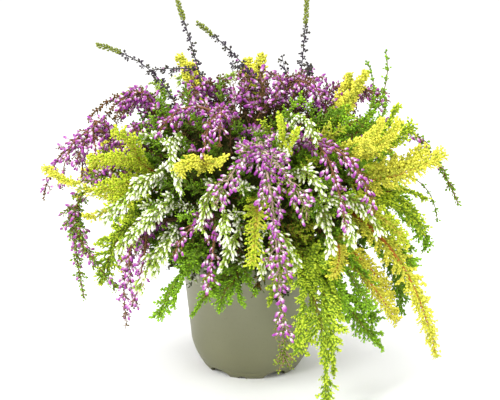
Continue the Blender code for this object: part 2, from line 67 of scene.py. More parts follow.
MM = 0.001
BODY = "root"
POT_WIDTH = 124.0
POT_HEIGHT = 106.0
POT_WALL = 1.6
POT_STEPS = 112
MERGE_WITHIN = 0.05
RIM_RADIUS = POT_WIDTH / 2
RIM_THICK = 2.4
RIM_STEP = 1.2
BAND_INSET = 1.2
BAND_EDGE = 0.8
LIP_STEPS = 8
BAND_STEPS = 3
BODY_RADIUS = RIM_RADIUS - 1.6
BODY_TOP = POT_HEIGHT - 12.0
BODY_TAPER = 0.105
HEEL_HEIGHT = 30.0
HEEL_ROUND = 1.7
HEEL_RINGS = 10
BODY_RINGS = (50.0, 72.0, BODY_TOP)
FOOT_RADIUS = 41.0
FOOT_WIDTH = 3.2
FLOOR_UNDER = 4.5
FLOOR_TOP = 7.0
FLOOR_CORNER = (3.0, 9.0)
FOOT_EDGE = 0.5
FOOT_ROUND = 0.6
FOOT_DRAFT = 1.0
LOW_RING = 3.0
NOTCH_HEIGHT = 6.2
NOTCH_WIDTH = 21.0
NOTCH_LENGTH = 24.0
NOTCHES = 5
FIRST_NOTCH = 11.0
ARCH_FLATNESS = 0.6
DIP_HEIGHT = 2.3
DIP_WIDTH = 6.0
DIP_ASIDE = 31.0
GROOVE = 0.45
GROOVE_HEIGHT = 6.0
GROOVE_EDGE = 0.5
DRAIN_RADIUS = 4.0
DRAIN_REACH = 24.0


def colour(hex_text):
    """A colour written as six hex digits, as the linear values that shaders use."""
    parts = [int(hex_text[i:i + 2], 16) / 255 for i in (0, 2, 4)]
    return (*[p / 12.92 if p < 0.04045 else ((p + 0.055) / 1.055) ** 2.4 for p in parts], 1.0)


def plug(tree, sockets, values):
    """Links or sets the inputs of a node."""
    for key, value in values.items():
        if isinstance(value, bpy.types.NodeSocket):
            tree.links.new(value, sockets[key])
        else:
            sockets[key].default_value = value


def node(tree, kind, inputs=None, **settings):
    """A new node of a tree, with its settings and with its inputs linked or set."""
    made = tree.nodes.new(kind)
    for key, value in settings.items():
        setattr(made, key, value)
    plug(tree, made.inputs, inputs or {})
    return made


def maths(tree, operation, *values, **settings):
    return node(tree, "ShaderNodeMath", dict(enumerate(values)), operation=operation,
                **settings).outputs[0]


def ranged(tree, value, start=(0.0, 1.0), end=(0.0, 1.0), **settings):
    """A value that is moved from one range into another."""
    limits = {"From Min": start[0], "From Max": start[1], "To Min": end[0], "To Max": end[1]}
    return node(tree, "ShaderNodeMapRange", {"Value": value, **limits},
                **settings).outputs["Result"]


def mixed(tree, share, first, second):
    return node(tree, "ShaderNodeMix", {"Factor": share, 6: first, 7: second},
                data_type="RGBA").outputs[2]


def colour_ramp(tree, value, *stops):
    """A colour for each value, from stops that are a place and a colour each."""
    made = node(tree, "ShaderNodeValToRGB", {"Fac": value})
    elements = made.color_ramp.elements
    for element, (position, shade) in zip(elements, (stops[0], stops[-1])):
        element.position = position
        element.color = shade
    for position, shade in stops[1:-1]:
        elements.new(position).color = shade
    return made.outputs["Color"]


def object_place(tree):
    return node(tree, "ShaderNodeTexCoord").outputs["Object"]


def noise(tree, scale, detail=2.0, roughness=0.5):
    return node(tree, "ShaderNodeTexNoise",
                {"Vector": object_place(tree), "Scale": scale, "Detail": detail,
                 "Roughness": roughness}).outputs["Fac"]


def add_bump(tree, shader, height, strength, distance):
    bump = node(tree, "ShaderNodeBump",
                {"Height": height, "Strength": strength, "Distance": distance})
    tree.links.new(bump.outputs["Normal"], shader.inputs["Normal"])


def new_material(name):
    made = bpy.data.materials.new(name)
    made.use_nodes = True
    return made, made.node_tree, made.node_tree.nodes["Principled BSDF"]


def add_object(name, data):
    made = bpy.data.objects.new(name, data)
    bpy.context.scene.collection.objects.link(made)
    return made


def keep_used(mesh):
    """Leaves a mesh only those of its materials that its faces wear."""
    worn = [0] * len(mesh.polygons)
    mesh.polygons.foreach_get("material_index", worn)
    used = sorted(set(worn))
    kept = [mesh.materials[i] for i in used if i < len(mesh.materials)]
    mesh.materials.clear()
    for material in kept:
        mesh.materials.append(material)
    place = {old: new for new, old in enumerate(used)}
    mesh.polygons.foreach_set("material_index", [place[i] for i in worn])


def settle(made):
    """Turns an object with its modifiers into a plain mesh of its own."""
    bpy.context.view_layer.update()
    graph = bpy.context.evaluated_depsgraph_get()
    solid = bpy.data.meshes.new_from_object(made.evaluated_get(graph))
    keep_used(solid)
    made.modifiers.clear()
    old = made.data
    made.data = solid
    bpy.data.meshes.remove(old)
    return made


def spin(name, profile, steps):
    """A turned body from a profile of radius and height, which runs down its outer side."""
    mesh = bpy.data.meshes.new(name)
    corners = [Vector((radius, 0, height)) * MM for radius, height in profile]
    mesh.from_pydata(corners, [(i, i + 1) for i in range(len(corners) - 1)], [])
    made = add_object(name, mesh)
    screw = made.modifiers.new("turned", "SCREW")
    screw.steps = steps
    screw.render_steps = steps
    screw.use_merge_vertices = True
    screw.merge_threshold = MERGE_WITHIN * MM
    screw.use_normal_calculate = True
    return settle(made)


def wall_radius(height):
    """The pot's outer radius at a height: a straight body over a rounded heel."""
    straight = BODY_RADIUS - (BODY_TOP - max(height, HEEL_HEIGHT)) * BODY_TAPER
    share = max(0.0, 1.0 - height / HEEL_HEIGHT)
    return straight - (straight - FOOT_RADIUS) * share ** HEEL_ROUND


def arc(centre, radius, start, end, steps):
    """Points of an arc in the profile's plane, from one angle in degrees to another."""
    for i in range(steps + 1):
        angle = math.radians(start + (end - start) * i / steps)
        yield centre[0] + radius * math.cos(angle), centre[1] + radius * math.sin(angle)


def pot_profile():
    """The moulding's outline, from its floor up inside, over its lip and down outside."""
    heel = [HEEL_HEIGHT * (1 - i / HEEL_RINGS) for i in range(HEEL_RINGS)]
    rings = heel[::-1] + list(BODY_RINGS)
    corner, corner_top = FLOOR_CORNER
    inner = [(wall_radius(z) - POT_WALL, z) for z in rings if z > corner_top + 1]
    lip = RIM_THICK / 2
    rolled = arc((RIM_RADIUS - lip, POT_HEIGHT - lip), lip, 180, 0, LIP_STEPS)
    band_foot = arc((RIM_RADIUS - BAND_INSET, BODY_TOP + RIM_STEP + BAND_EDGE), BAND_EDGE,
                    0, -90, BAND_STEPS)
    outer = [(wall_radius(z), z) for z in rings[::-1] if z > GROOVE_HEIGHT + 1]
    ring = wall_radius(GROOVE_HEIGHT)
    foot_inner = FOOT_RADIUS - FOOT_WIDTH
    return (
        [(0.0, FLOOR_TOP), (wall_radius(corner_top) - POT_WALL - corner, FLOOR_TOP)]
        + inner + list(rolled) + list(band_foot) + outer
        + [(ring, GROOVE_HEIGHT + GROOVE_EDGE), (ring - GROOVE, GROOVE_HEIGHT),
           (ring - GROOVE, GROOVE_HEIGHT - GROOVE_EDGE), (wall_radius(LOW_RING), LOW_RING),
           (FOOT_RADIUS, FOOT_ROUND), (FOOT_RADIUS - FOOT_EDGE, 0.0), (foot_inner, 0.0),
           (foot_inner - FOOT_DRAFT, FLOOR_UNDER), (0.0, FLOOR_UNDER)]
    )


def object_from(shape, name):
    """A mesh object from a built shape, with its faces turned outwards."""
    shape.normal_update()
    bmesh.ops.recalc_face_normals(shape, faces=shape.faces)
    mesh = bpy.data.meshes.new(name)
    shape.to_mesh(mesh)
    shape.free()
    return add_object(name, mesh)


def round_cutter(name, radius, depth, middle):
    shape = bmesh.new()
    bmesh.ops.create_cone(shape, cap_ends=True, segments=32, radius1=radius * MM,
                          radius2=radius * MM, depth=depth * MM)
    shape.transform(Matrix.Translation(Vector(middle) * MM))
    return object_from(shape, name)


def cut_away(made, cutters):
    for cutter in cutters:
        cut = made.modifiers.new("hole", "BOOLEAN")
        cut.operation = "DIFFERENCE"
        cut.object = cutter
    settle(made)
    for cutter in cutters:
        bpy.data.objects.remove(cutter)


def arch_cutter(angle, height, width):
    """A lying half-oval that parts the foot ring."""
    arch = bmesh.new()
    bmesh.ops.create_cone(arch, cap_ends=True, segments=40, radius1=1, radius2=1, depth=1)
    for vertex in arch.verts:
        vertex.co.x = math.copysign(abs(vertex.co.x) ** ARCH_FLATNESS, vertex.co.x)
    turn = Matrix.Rotation(math.radians(angle), 4, "Z") @ Matrix.Rotation(math.pi / 2, 4, "Y")
    size = Vector((height, width / 2, NOTCH_LENGTH)) * MM
    slide = Matrix.Translation((0, 0, FOOT_RADIUS * MM))
    arch.transform(turn @ slide @ Matrix.Diagonal((*size, 1)))
    return object_from(arch, "arch")


def pot_cutters():
    for i in range(NOTCHES):
        angle = FIRST_NOTCH + 360 / NOTCHES * i
        yield arch_cutter(angle, NOTCH_HEIGHT, NOTCH_WIDTH)
        yield arch_cutter(angle + DIP_ASIDE, DIP_HEIGHT, DIP_WIDTH)
        by_foot = math.radians(angle + 180 / NOTCHES)
        middle = (DRAIN_REACH * math.cos(by_foot), DRAIN_REACH * math.sin(by_foot), FLOOR_TOP)
        yield round_cutter("drain", DRAIN_RADIUS, FLOOR_TOP, middle)


def plastic_material():
    """Painted shade that darkens it towards its foot, with faint moulding rings, specks and a
    dusty bloom.
    """
    made, tree, shader = new_material("moulded_plastic")
    clouds = noise(tree, 16.0, 5.0, 0.6)
    dust = noise(tree, 900.0, 2.0, 0.5)
    rings = node(tree, "ShaderNodeTexWave",
                 {"Vector": object_place(tree), "Scale": 55.0, "Distortion": 1.2, "Detail": 1.0},
                 bands_direction="Z").outputs["Fac"]
    height = node(tree, "ShaderNodeSeparateXYZ", {0: object_place(tree)}).outputs["Z"]
    rise = ranged(tree, height, (0.0, POT_HEIGHT * MM))
    # Painted shade: the plastic darkens from the rim down to the foot.
    base = colour_ramp(tree, rise, (0.0, colour("5C5B36")), (1.0, colour("848468")))
    cloudy = mixed(tree, maths(tree, "MULTIPLY", clouds, 0.30), base, colour("9C9D84"))
    speck = ranged(tree, dust, (0.62, 0.78), (0.0, 0.35))
    plug(tree, shader.inputs, {"Base Color": mixed(tree, speck, cloudy, colour("57563D")),
                               "Roughness": ranged(tree, clouds, end=(0.36, 0.56))})
    add_bump(tree, shader, maths(tree, "ADD", rings, dust), 0.10, 0.0004)
    return made


pot = spin("pot_moulding", pot_profile(), POT_STEPS)
cut_away(pot, list(pot_cutters()))
pot.data.materials.clear()
pot.data.materials.append(plastic_material())
pot.data.shade_smooth()
pot.data.set_sharp_from_angle(angle=math.radians(35))
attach(pot, BODY)
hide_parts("pot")


# The compost is moist peat with bits of bark and a few white grains. It is a turned body
# that fills the pot, with a lumpy top that crumbs are strewn over by Geometry Nodes, and a
# hole for each plant's trunk.

GAP = 0.3
SOIL_TOP = BODY_TOP - 1.0
SOIL_RINGS = (0.0, 8.0, 16.0, 24.0, 32.0, 40.0, 48.0, 54.0)
SOIL_LUMPS = 1.6
FINE_LUMPS = 0.4
SOIL_STEPS = 64
CRUMB_SIZE = 1.5
CRUMBS_PER_M2 = 42000.0
CRUMB_TURNS = 6.28
CRUMBS_BELOW = 2.6
TRUNK_DEPTH = 30.0
TRUNK_RADIUS = 5.5
CROWNS = {
    "purple_heather_crown": (90, (0.0, 24.0)),
    "white_heather_crown": (210, (-20.0, -36.0)),
    "golden_heather_crown": (330, (34.0, -30.0)),
}


def new_tree(name, sockets):
    """A Geometry Nodes tree with named inputs, and its input and output nodes."""
    tree = bpy.data.node_groups.new(name, "GeometryNodeTree")
    tree.interface.new_socket("Geometry", in_out="INPUT", socket_type="NodeSocketGeometry")
    tree.interface.new_socket("Geometry", in_out="OUTPUT", socket_type="NodeSocketGeometry")
    for socket, kind in sockets.items():
        tree.interface.new_socket(socket, in_out="INPUT", socket_type=f"NodeSocket{kind}")
    return tree, tree.nodes.new("NodeGroupInput").outputs, tree.nodes.new("NodeGroupOutput").inputs


def grow_with(made, tree, values):
    """Runs a Geometry Nodes tree on an object and keeps the result as its plain mesh."""
    grown = made.modifiers.new(tree.name, "NODES")
    grown.node_group = tree
    for item in tree.interface.items_tree:
        if item.in_out == "INPUT" and item.name in values:
            grown[item.identifier] = values[item.name]
    return settle(made)


def random_float(tree, low, high, seed, step):
    """A random number for each point or instance. The step keeps two draws apart."""
    return node(tree, "FunctionNodeRandomValue",
                {2: low, 3: high, "Seed": maths(tree, "ADD", seed, float(step))}).outputs[1]


def random_vector(tree, low, high, seed=0):
    return node(tree, "FunctionNodeRandomValue",
                {0: (low, low, low), 1: (high, high, high), "Seed": seed},
                data_type="FLOAT_VECTOR").outputs[0]


def exceeds(tree, value, limit):
    return node(tree, "FunctionNodeCompare", {0: value, 1: limit},
                operation="GREATER_THAN").outputs[0]


def place_and_height(tree):
    place = node(tree, "GeometryNodeInputPosition").outputs[0]
    return place, node(tree, "ShaderNodeSeparateXYZ", {0: place}).outputs["Z"]


def marked(tree, instances, name, value):
    """Instances that each keep a value, for their material to read."""
    return node(tree, "GeometryNodeStoreNamedAttribute",
                {"Geometry": instances, "Name": name, "Value": value},
                domain="INSTANCE").outputs[0]


def joined(tree, *parts):
    both = node(tree, "GeometryNodeJoinGeometry")
    for part in parts:
        tree.links.new(part, both.inputs[0])
    return both.outputs[0]


def made_real(tree, instances):
    return node(tree, "GeometryNodeRealizeInstances", {0: instances}).outputs[0]


def painted(tree, geometry, material):
    return node(tree, "GeometryNodeSetMaterial", {0: geometry, "Material": material}).outputs[0]


def kept_value(tree, name):
    """What a mesh keeps under a name, as a shader reads it."""
    return node(tree, "ShaderNodeAttribute", attribute_name=name).outputs["Fac"]


def peat_material():
    made, tree, shader = new_material("moist_peat")
    grains = noise(tree, 420.0, 6.0, 0.7)
    both = maths(tree, "ADD", kept_value(tree, "tone"), grains)
    ramp = colour_ramp(tree, maths(tree, "MULTIPLY", both, 0.55), (0.0, colour("150E08")),
                       (0.78, colour("6B4A30")), (0.82, colour("C9C2B0")))
    plug(tree, shader.inputs, {"Base Color": ramp, "Roughness": 0.95})
    add_bump(tree, shader, grains, 0.8, 0.0008)
    return made


def crumb_tree():
    """Strews crumbs of all sizes over the top of the compost."""
    tree, given, result = new_tree("compost_crumbs", {
        "Crumbs Per Area": "Float", "Crumb Size": "Float", "Top": "Float", "Seed": "Int",
        "Crumb": "Object", "Peat": "Material"})
    seed = given["Seed"]
    _, height = place_and_height(tree)
    strewn = node(tree, "GeometryNodeDistributePointsOnFaces",
                  {"Mesh": given["Geometry"], "Density": given["Crumbs Per Area"],
                   "Selection": exceeds(tree, height, given["Top"]), "Seed": seed})
    scale = maths(tree, "MULTIPLY", random_float(tree, 0.35, 1.0, seed, 1), given["Crumb Size"])
    crumb = node(tree, "GeometryNodeObjectInfo", {"Object": given["Crumb"]})
    crumbs = node(tree, "GeometryNodeInstanceOnPoints",
                  {"Points": strewn.outputs["Points"], "Instance": crumb.outputs["Geometry"],
                   "Rotation": random_vector(tree, 0.0, CRUMB_TURNS), "Scale": scale})
    toned = marked(tree, crumbs.outputs[0], "tone", random_float(tree, 0.0, 1.0, seed, 2))
    real = made_real(tree, joined(tree, given["Geometry"], toned))
    tree.links.new(painted(tree, real, given["Peat"]), result[0])
    return tree


def soil_profile():
    corner, corner_top = FLOOR_CORNER
    inset = POT_WALL + GAP
    top = [(radius, SOIL_TOP) for radius in SOIL_RINGS]
    side = [(wall_radius(z) - inset, z) for z in (SOIL_TOP - 2.0, HEEL_HEIGHT, corner_top + 1)]
    floor = [(wall_radius(corner_top) - inset - corner, FLOOR_TOP + GAP), (0.0, FLOOR_TOP + GAP)]
    return top + side + floor


compost = spin("compost_fill", soil_profile(), SOIL_STEPS)
for vertex in compost.data.vertices:
    x, y, z = vertex.co / MM
    if z > SOIL_TOP - 0.5:
        lump = math.sin(0.23 * x + 1.0) * math.sin(0.31 * y + 0.4)
        fine_lump = math.sin(0.9 * x) * math.sin(0.8 * y + 2.0)
        vertex.co.z += (SOIL_LUMPS * lump + FINE_LUMPS * fine_lump) * MM
cut_away(compost, [
    round_cutter("trunk_hole", TRUNK_RADIUS + 3 * GAP, (TRUNK_DEPTH + GAP) * 2, (*spot, SOIL_TOP))
    for _, spot in CROWNS.values()])
crumb_shape = bmesh.new()
bmesh.ops.create_icosphere(crumb_shape, subdivisions=1, radius=1.0)
for vertex in crumb_shape.verts:
    vertex.co *= 0.85 + 0.25 * math.sin(7 * vertex.co.x + 5 * vertex.co.y)
crumb = object_from(crumb_shape, "crumb")
grow_with(compost, crumb_tree(), {
    "Crumbs Per Area": CRUMBS_PER_M2, "Crumb Size": CRUMB_SIZE * MM, "Seed": 5,
    "Top": (SOIL_TOP - CRUMBS_BELOW) * MM, "Crumb": crumb, "Peat": peat_material()})
bpy.data.objects.remove(crumb)
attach(compost, BODY)
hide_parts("compost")


# A heather shoot is a wiry stem with tiny leaves all round it and, on flowering plants, four
# rows of closed buds on short stalks. It is drawn here as thin lines, the stem and its side
# twigs, and one Geometry Nodes tree clothes the lines with bark, leaves and buds.

CROWN_RADIUS = 92.0
CROWN_MIDDLE = 160.0
CROWN_RISE = 70.0
CROWN_DROP = 56.0
# The painted shade inside the bush: colours darken from the crowns' outer layer inwards.
SHADE_MIDDLE = 132.0
SHADE_RISE = 98.0
SHADE_FROM = (0.88, 1.34)
SHADE_TO = (0.26, 1.0)
LEAF_GLOSS = 0.12
LEAF_WIDEST = 0.60
LEAF_HALF_WIDTH = 0.36
LEAF_KEEL = 0.14
LEAF_HOOK = 0.10
ITEM_WORDS = ("Step", "Turn", "Length", "Spread", "Droop", "Stalk")
ITEM_TURN = 0.3
ITEM_SPREADS = (0.7, 1.3)
ITEM_LENGTHS = (0.75, 1.2)
GOLDEN_ANGLE = math.pi * (3.0 - math.sqrt(5.0))
ROW_ANGLE = math.pi / 2


def vector_maths(tree, operation, vector, other):
    return node(tree, "ShaderNodeVectorMath",
                {0: vector, "Scale" if operation == "SCALE" else 1: other},
                operation=operation).outputs["Vector"]


def shade_group():
    """The colour of leaves and bark: older to younger, uneven, and with painted shade that
    darkens it, and greens the leaves, inside the bush.
    """
    group = bpy.data.node_groups.new("plant_tint_and_shade", "ShaderNodeTree")
    for socket, kind in (("Old", "Color"), ("Young", "Color"), ("Unevenness", "Float"),
                         ("Shade", "Float"), ("Grown At", "Float")):
        group.interface.new_socket(socket, in_out="INPUT", socket_type=f"NodeSocket{kind}")
    group.interface.new_socket("Color", in_out="OUTPUT", socket_type="NodeSocketColor")
    given = group.nodes.new("NodeGroupInput").outputs
    result = group.nodes.new("NodeGroupOutput").inputs

    middle = node(group, "ShaderNodeMapping",
                  {"Vector": object_place(group), "Location": (0.0, 0.0, -SHADE_MIDDLE * MM)})
    wide, high = 1000 / CROWN_RADIUS, 1000 / SHADE_RISE
    ball = vector_maths(group, "MULTIPLY", middle.outputs[0], (wide, wide, high))
    level = node(group, "ShaderNodeVectorMath", {0: ball}, operation="LENGTH").outputs["Value"]
    # Painted shade: full light outside the crowns' ball, dark deep inside it.
    light = ranged(group, level, SHADE_FROM, SHADE_TO, interpolation_type="SMOOTHSTEP")

    tone = kept_value(group, "tone")
    tones = maths(group, "ADD", tone, kept_value(group, "sprig_tone"))
    spread = maths(group, "MULTIPLY", tones, given["Unevenness"])
    aged = maths(group, "ADD", kept_value(group, "young"), spread)
    # Where the painted shade falls, leaves take their older, greener colour.
    aged_in_painted_shade = maths(group, "MULTIPLY", aged, light)
    age = maths(group, "DIVIDE", aged_in_painted_shade, given["Grown At"], use_clamp=True)
    grown = mixed(group, age, given["Old"], given["Young"])
    shaded = node(group, "ShaderNodeMix", {"Factor": given["Shade"], 2: 1.0, 3: light}).outputs[0]
    strength = maths(group, "MULTIPLY", shaded, ranged(group, tone, end=(0.84, 1.14)))
    group.links.new(vector_maths(group, "SCALE", grown, strength), result["Color"])
    return group


PLANT_TINT_AND_SHADE = shade_group()


def tinted_and_shaded(tree, old, young, unevenness=0.0, shade=1.0, grown_at=1.0):
    return node(tree, "ShaderNodeGroup",
                {"Old": old, "Young": young, "Unevenness": unevenness, "Shade": shade,
                 "Grown At": grown_at}, node_tree=PLANT_TINT_AND_SHADE).outputs["Color"]


def leaf_material(name, old, young, roughness=0.5, unevenness=0.25, painted_glow=0.10):
    """Leaves, with a painted glow: they give off a little of their own colour, as thin leaves let
    light pass.
    """
    made, tree, shader = new_material(name)
    tint_and_shade = tinted_and_shaded(tree, colour(old), colour(young), unevenness)
    plug(tree, shader.inputs, {"Base Color": tint_and_shade, "Emission Color": tint_and_shade,
                               "Emission Strength": painted_glow, "Roughness": roughness,
                               "Specular IOR Level": LEAF_GLOSS})
    return made


def bark_material(name, old, young, grown_at=1.0):
    """Bark in fine flakes that are lighter and darker, and darker still in the painted shade
    inside the bush.
    """
    made, tree, shader = new_material(name)
    tint_and_shade = tinted_and_shaded(tree, colour(old), colour(young), shade=0.7, grown_at=grown_at)
    flakes = noise(tree, 700.0, 4.0, 0.7)
    flaked = vector_maths(tree, "SCALE", tint_and_shade, ranged(tree, flakes, end=(0.55, 1.35)))
    plug(tree, shader.inputs, {"Base Color": flaked, "Roughness": 0.8})
    add_bump(tree, shader, flakes, 0.5, 0.0004)
    return made


def bud_material(name, base, middle, tip):
    """A closed bud: pale where it leaves its stalk, and strongest at its pointed end. The
    painted shade inside the bush dims it a little.
    """
    made, tree, shader = new_material(name)
    shift = ranged(tree, kept_value(tree, "tone"), end=(-0.22, 0.20))
    along = maths(tree, "ADD", kept_value(tree, "tip"), shift, use_clamp=True)
    ramp = colour_ramp(tree, along, (0.26, colour(base)), (0.46, colour(middle)),
                       (0.76, colour(tip)))
    plug(tree, shader.inputs, {"Base Color": tinted_and_shaded(tree, ramp, ramp, shade=0.45),
                               "Roughness": 0.42, "Specular IOR Level": 0.45})
    return made


def item_object(shape, name):
    """A small repeated shape along +Z, with how far along it each of its points is."""
    shape.normal_update()
    bmesh.ops.recalc_face_normals(shape, faces=shape.faces)
    bmesh.ops.triangulate(shape, faces=shape.faces)
    mesh = bpy.data.meshes.new(name)
    shape.to_mesh(mesh)
    shape.free()
    along = mesh.attributes.new("tip", "FLOAT", "POINT")
    along.data.foreach_set("value", [max(0.0, vertex.co.z) for vertex in mesh.vertices])
    mesh.shade_smooth()
    return add_object(name, mesh)


def leaf_shape():
    """A scale leaf of one unit's length: a kite folded along its keel, with four faces."""
    leaf = bmesh.new()
    foot, end, left, right = [leaf.verts.new(corner) for corner in (
        (0.0, 0.0, 0.0), (0.0, LEAF_HOOK, 1.0), (-LEAF_HALF_WIDTH, -LEAF_KEEL, LEAF_WIDEST),
        (LEAF_HALF_WIDTH, -LEAF_KEEL, LEAF_WIDEST))]
    for corners in ((foot, left, end), (foot, end, right), (foot, right, left), (left, right, end)):
        leaf.faces.new(corners)
    return item_object(leaf, "leaf")


def bud_shape(sides, slim, rings):
    """A closed bud of one unit's length, as wide at each of its rings as they say."""
    bud = bmesh.new()
    foot = bud.verts.new((0.0, 0.0, 0.0))
    end = bud.verts.new((0.0, 0.0, 1.0))
    turns = [2 * math.pi * i / sides for i in range(sides)]
    loops = [[bud.verts.new((width * slim * math.cos(a), width * slim * math.sin(a), height))
              for a in turns] for height, width in rings]
    for i in range(sides):
        after = (i + 1) % sides
        bud.faces.new((foot, loops[0][after], loops[0][i]))
        bud.faces.new((end, loops[-1][i], loops[-1][after]))
        for low, high in zip(loops, loops[1:]):
            bud.faces.new((low[i], low[after], high[after], high[i]))
    return item_object(bud, "bud")


def line_value(tree, name):
    """What a line keeps under a name, as a Geometry Nodes tree reads it."""
    return node(tree, "GeometryNodeInputNamedAttribute", {"Name": name}).outputs[0]


def facing(tree, way):
    return node(tree, "FunctionNodeAlignRotationToVector", {"Vector": way}, axis="Z").outputs[0]


def strewn_items(tree, given, lines, kind, keep, step):
    """Leaves or buds round the lines, each turned on from the one before."""
    size = {word: given[f"{kind} {word}"] for word in ITEM_WORDS}
    seed = given["Seed"]
    even = node(tree, "GeometryNodeResampleCurve", {"Curve": lines, "Length": size["Step"]},
                mode="LENGTH").outputs[0]
    points = node(tree, "GeometryNodeCurveToPoints", {"Curve": even}, mode="EVALUATED").outputs
    index = node(tree, "GeometryNodeInputIndex").outputs[0]
    angle = maths(tree, "ADD", maths(tree, "MULTIPLY", index, size["Turn"]),
                  random_float(tree, -ITEM_TURN, ITEM_TURN, seed, step))
    out = node(tree, "ShaderNodeVectorRotate",
               {"Vector": points["Normal"], "Axis": points["Tangent"], "Angle": angle},
               rotation_type="AXIS_ANGLE").outputs[0]
    spread = maths(tree, "MULTIPLY", size["Spread"],
                   random_float(tree, *ITEM_SPREADS, seed, step + 1))
    ahead = vector_maths(tree, "ADD", points["Tangent"], vector_maths(tree, "SCALE", out, spread))
    down = node(tree, "ShaderNodeCombineXYZ", {"Z": size["Droop"]}).outputs[0]
    standoff = maths(tree, "ADD", line_value(tree, "thick"), size["Stalk"])
    moved = node(tree, "GeometryNodeSetPosition",
                 {"Geometry": points["Points"],
                  "Offset": vector_maths(tree, "SCALE", out, standoff)}).outputs[0]
    wanted = exceeds(tree, line_value(tree, keep), random_float(tree, 0.0, 1.0, seed, step + 2))
    length = maths(tree, "MULTIPLY", size["Length"],
                   random_float(tree, *ITEM_LENGTHS, seed, step + 3))
    shape = node(tree, "GeometryNodeObjectInfo", {"Object": given[kind]}).outputs["Geometry"]
    items = node(tree, "GeometryNodeInstanceOnPoints",
                 {"Points": moved, "Selection": wanted, "Instance": shape, "Scale": length,
                  "Rotation": facing(tree, vector_maths(tree, "SUBTRACT", ahead, down))})
    toned = marked(tree, items.outputs[0], "tone", random_float(tree, 0.0, 1.0, seed, step + 4))
    return painted(tree, made_real(tree, toned), given[f"{kind} Finish"])


def shoot_tree():
    sockets = {"Seed": "Int", "Bark Sides": "Int", "Bark Finish": "Material"}
    for kind in ("Leaf", "Bud"):
        sockets.update({f"{kind} {word}": "Float" for word in ITEM_WORDS})
        sockets[f"{kind} Finish"] = "Material"
        sockets[kind] = "Object"
    tree, given, result = new_tree("clothed_shoots", sockets)
    lines = node(tree, "GeometryNodeMeshToCurve", {0: given["Geometry"]}).outputs[0]
    ring = node(tree, "GeometryNodeCurvePrimitiveCircle",
                {"Resolution": given["Bark Sides"], "Radius": 1.0}).outputs[0]
    bark = node(tree, "GeometryNodeCurveToMesh",
                {"Curve": lines, "Scale": line_value(tree, "thick"), "Profile Curve": ring,
                 "Fill Caps": True}).outputs[0]
    whole = joined(tree, painted(tree, bark, given["Bark Finish"]),
                   strewn_items(tree, given, lines, "Leaf", "leaves", 10),
                   strewn_items(tree, given, lines, "Bud", "buds", 20))
    tree.links.new(whole, result[0])
    return tree


SHOOTS = shoot_tree()
LEAF = leaf_shape()
BUD = bud_shape(5, 0.22, ((0.20, 0.66), (0.60, 1.0), (0.88, 0.62)))
SLIM_BUD = bud_shape(4, 0.165, ((0.25, 0.85), (0.70, 1.0)))
PLUMP_BUD = bud_shape(4, 0.24, ((0.25, 0.80), (0.68, 1.0)))


class Lines:
    """Stems and twigs as thin lines, each with what grows on it: its thickness, its age from
    0 for old to 1 for young, and the share of places that bear leaves or buds."""

    def __init__(self):
        self.corners = []
        self.edges = []
        self.facts = {"thick": [], "young": [], "leaves": [], "buds": []}

    def add(self, points, thick, young, leaves, buds):
        """One line. Each fact is its values at the line's foot and at its end."""
        first = len(self.corners)
        last = len(points) - 1
        for i, point in enumerate(points):
            share = i / last
            self.corners.append(point * MM)
            for name, (low, high) in zip(self.facts, (thick, young, leaves, buds)):
                self.facts[name].append(low + (high - low) * share)
        self.edges += [(first + i, first + i + 1) for i in range(last)]

    def clothe(self, name, habit, seed):
        """The lines with their bark, leaves and buds, as one plain mesh object."""
        mesh = bpy.data.meshes.new(name)
        mesh.from_pydata(self.corners, self.edges, [])
        for fact, values in self.facts.items():
            scale = MM if fact == "thick" else 1.0
            held = mesh.attributes.new(fact, "FLOAT", "POINT")
            held.data.foreach_set("value", [value * scale for value in values])
        values = {"Seed": seed, "Bark Sides": habit["bark_sides"],
                  "Bark Finish": habit["bark"], "Leaf": LEAF, "Bud": habit["bud_shape"],
                  "Leaf Turn": GOLDEN_ANGLE, "Bud Turn": ROW_ANGLE}
        for kind in ("Leaf", "Bud"):
            values[f"{kind} Finish"] = habit[kind.lower()]
            for word in ("Step", "Length", "Spread", "Droop", "Stalk"):
                unit = 1.0 if word in ("Spread", "Droop") else MM
                value = habit.get(f"{kind}_{word}".lower(), 0.0)
                values[f"{kind} {word}"] = value * unit
        return grow_with(add_object(name, mesh), SHOOTS, values)


def bend(start, knee, tip, share):
    rest = 1.0 - share
    return start * rest * rest + knee * 2 * share * rest + tip * share * share


def length_of(points):
    return sum((b - a).length for a, b in zip(points, points[1:]))


def even_curve(start, knee, tip, step):
    """Points along a bent stem, about a step apart."""
    fine = [bend(start, knee, tip, i / 40) for i in range(41)]
    count = max(4, round(length_of(fine) / step))
    return [bend(start, knee, tip, i / count) for i in range(count + 1)]


TWIG_END = 0.6
LONG_TWIG = 9.0
OFFSHOOT_THICK = 0.85
OFFSHOOT_LEAST = 1.5
OFFSHOOTS_END = 2.0


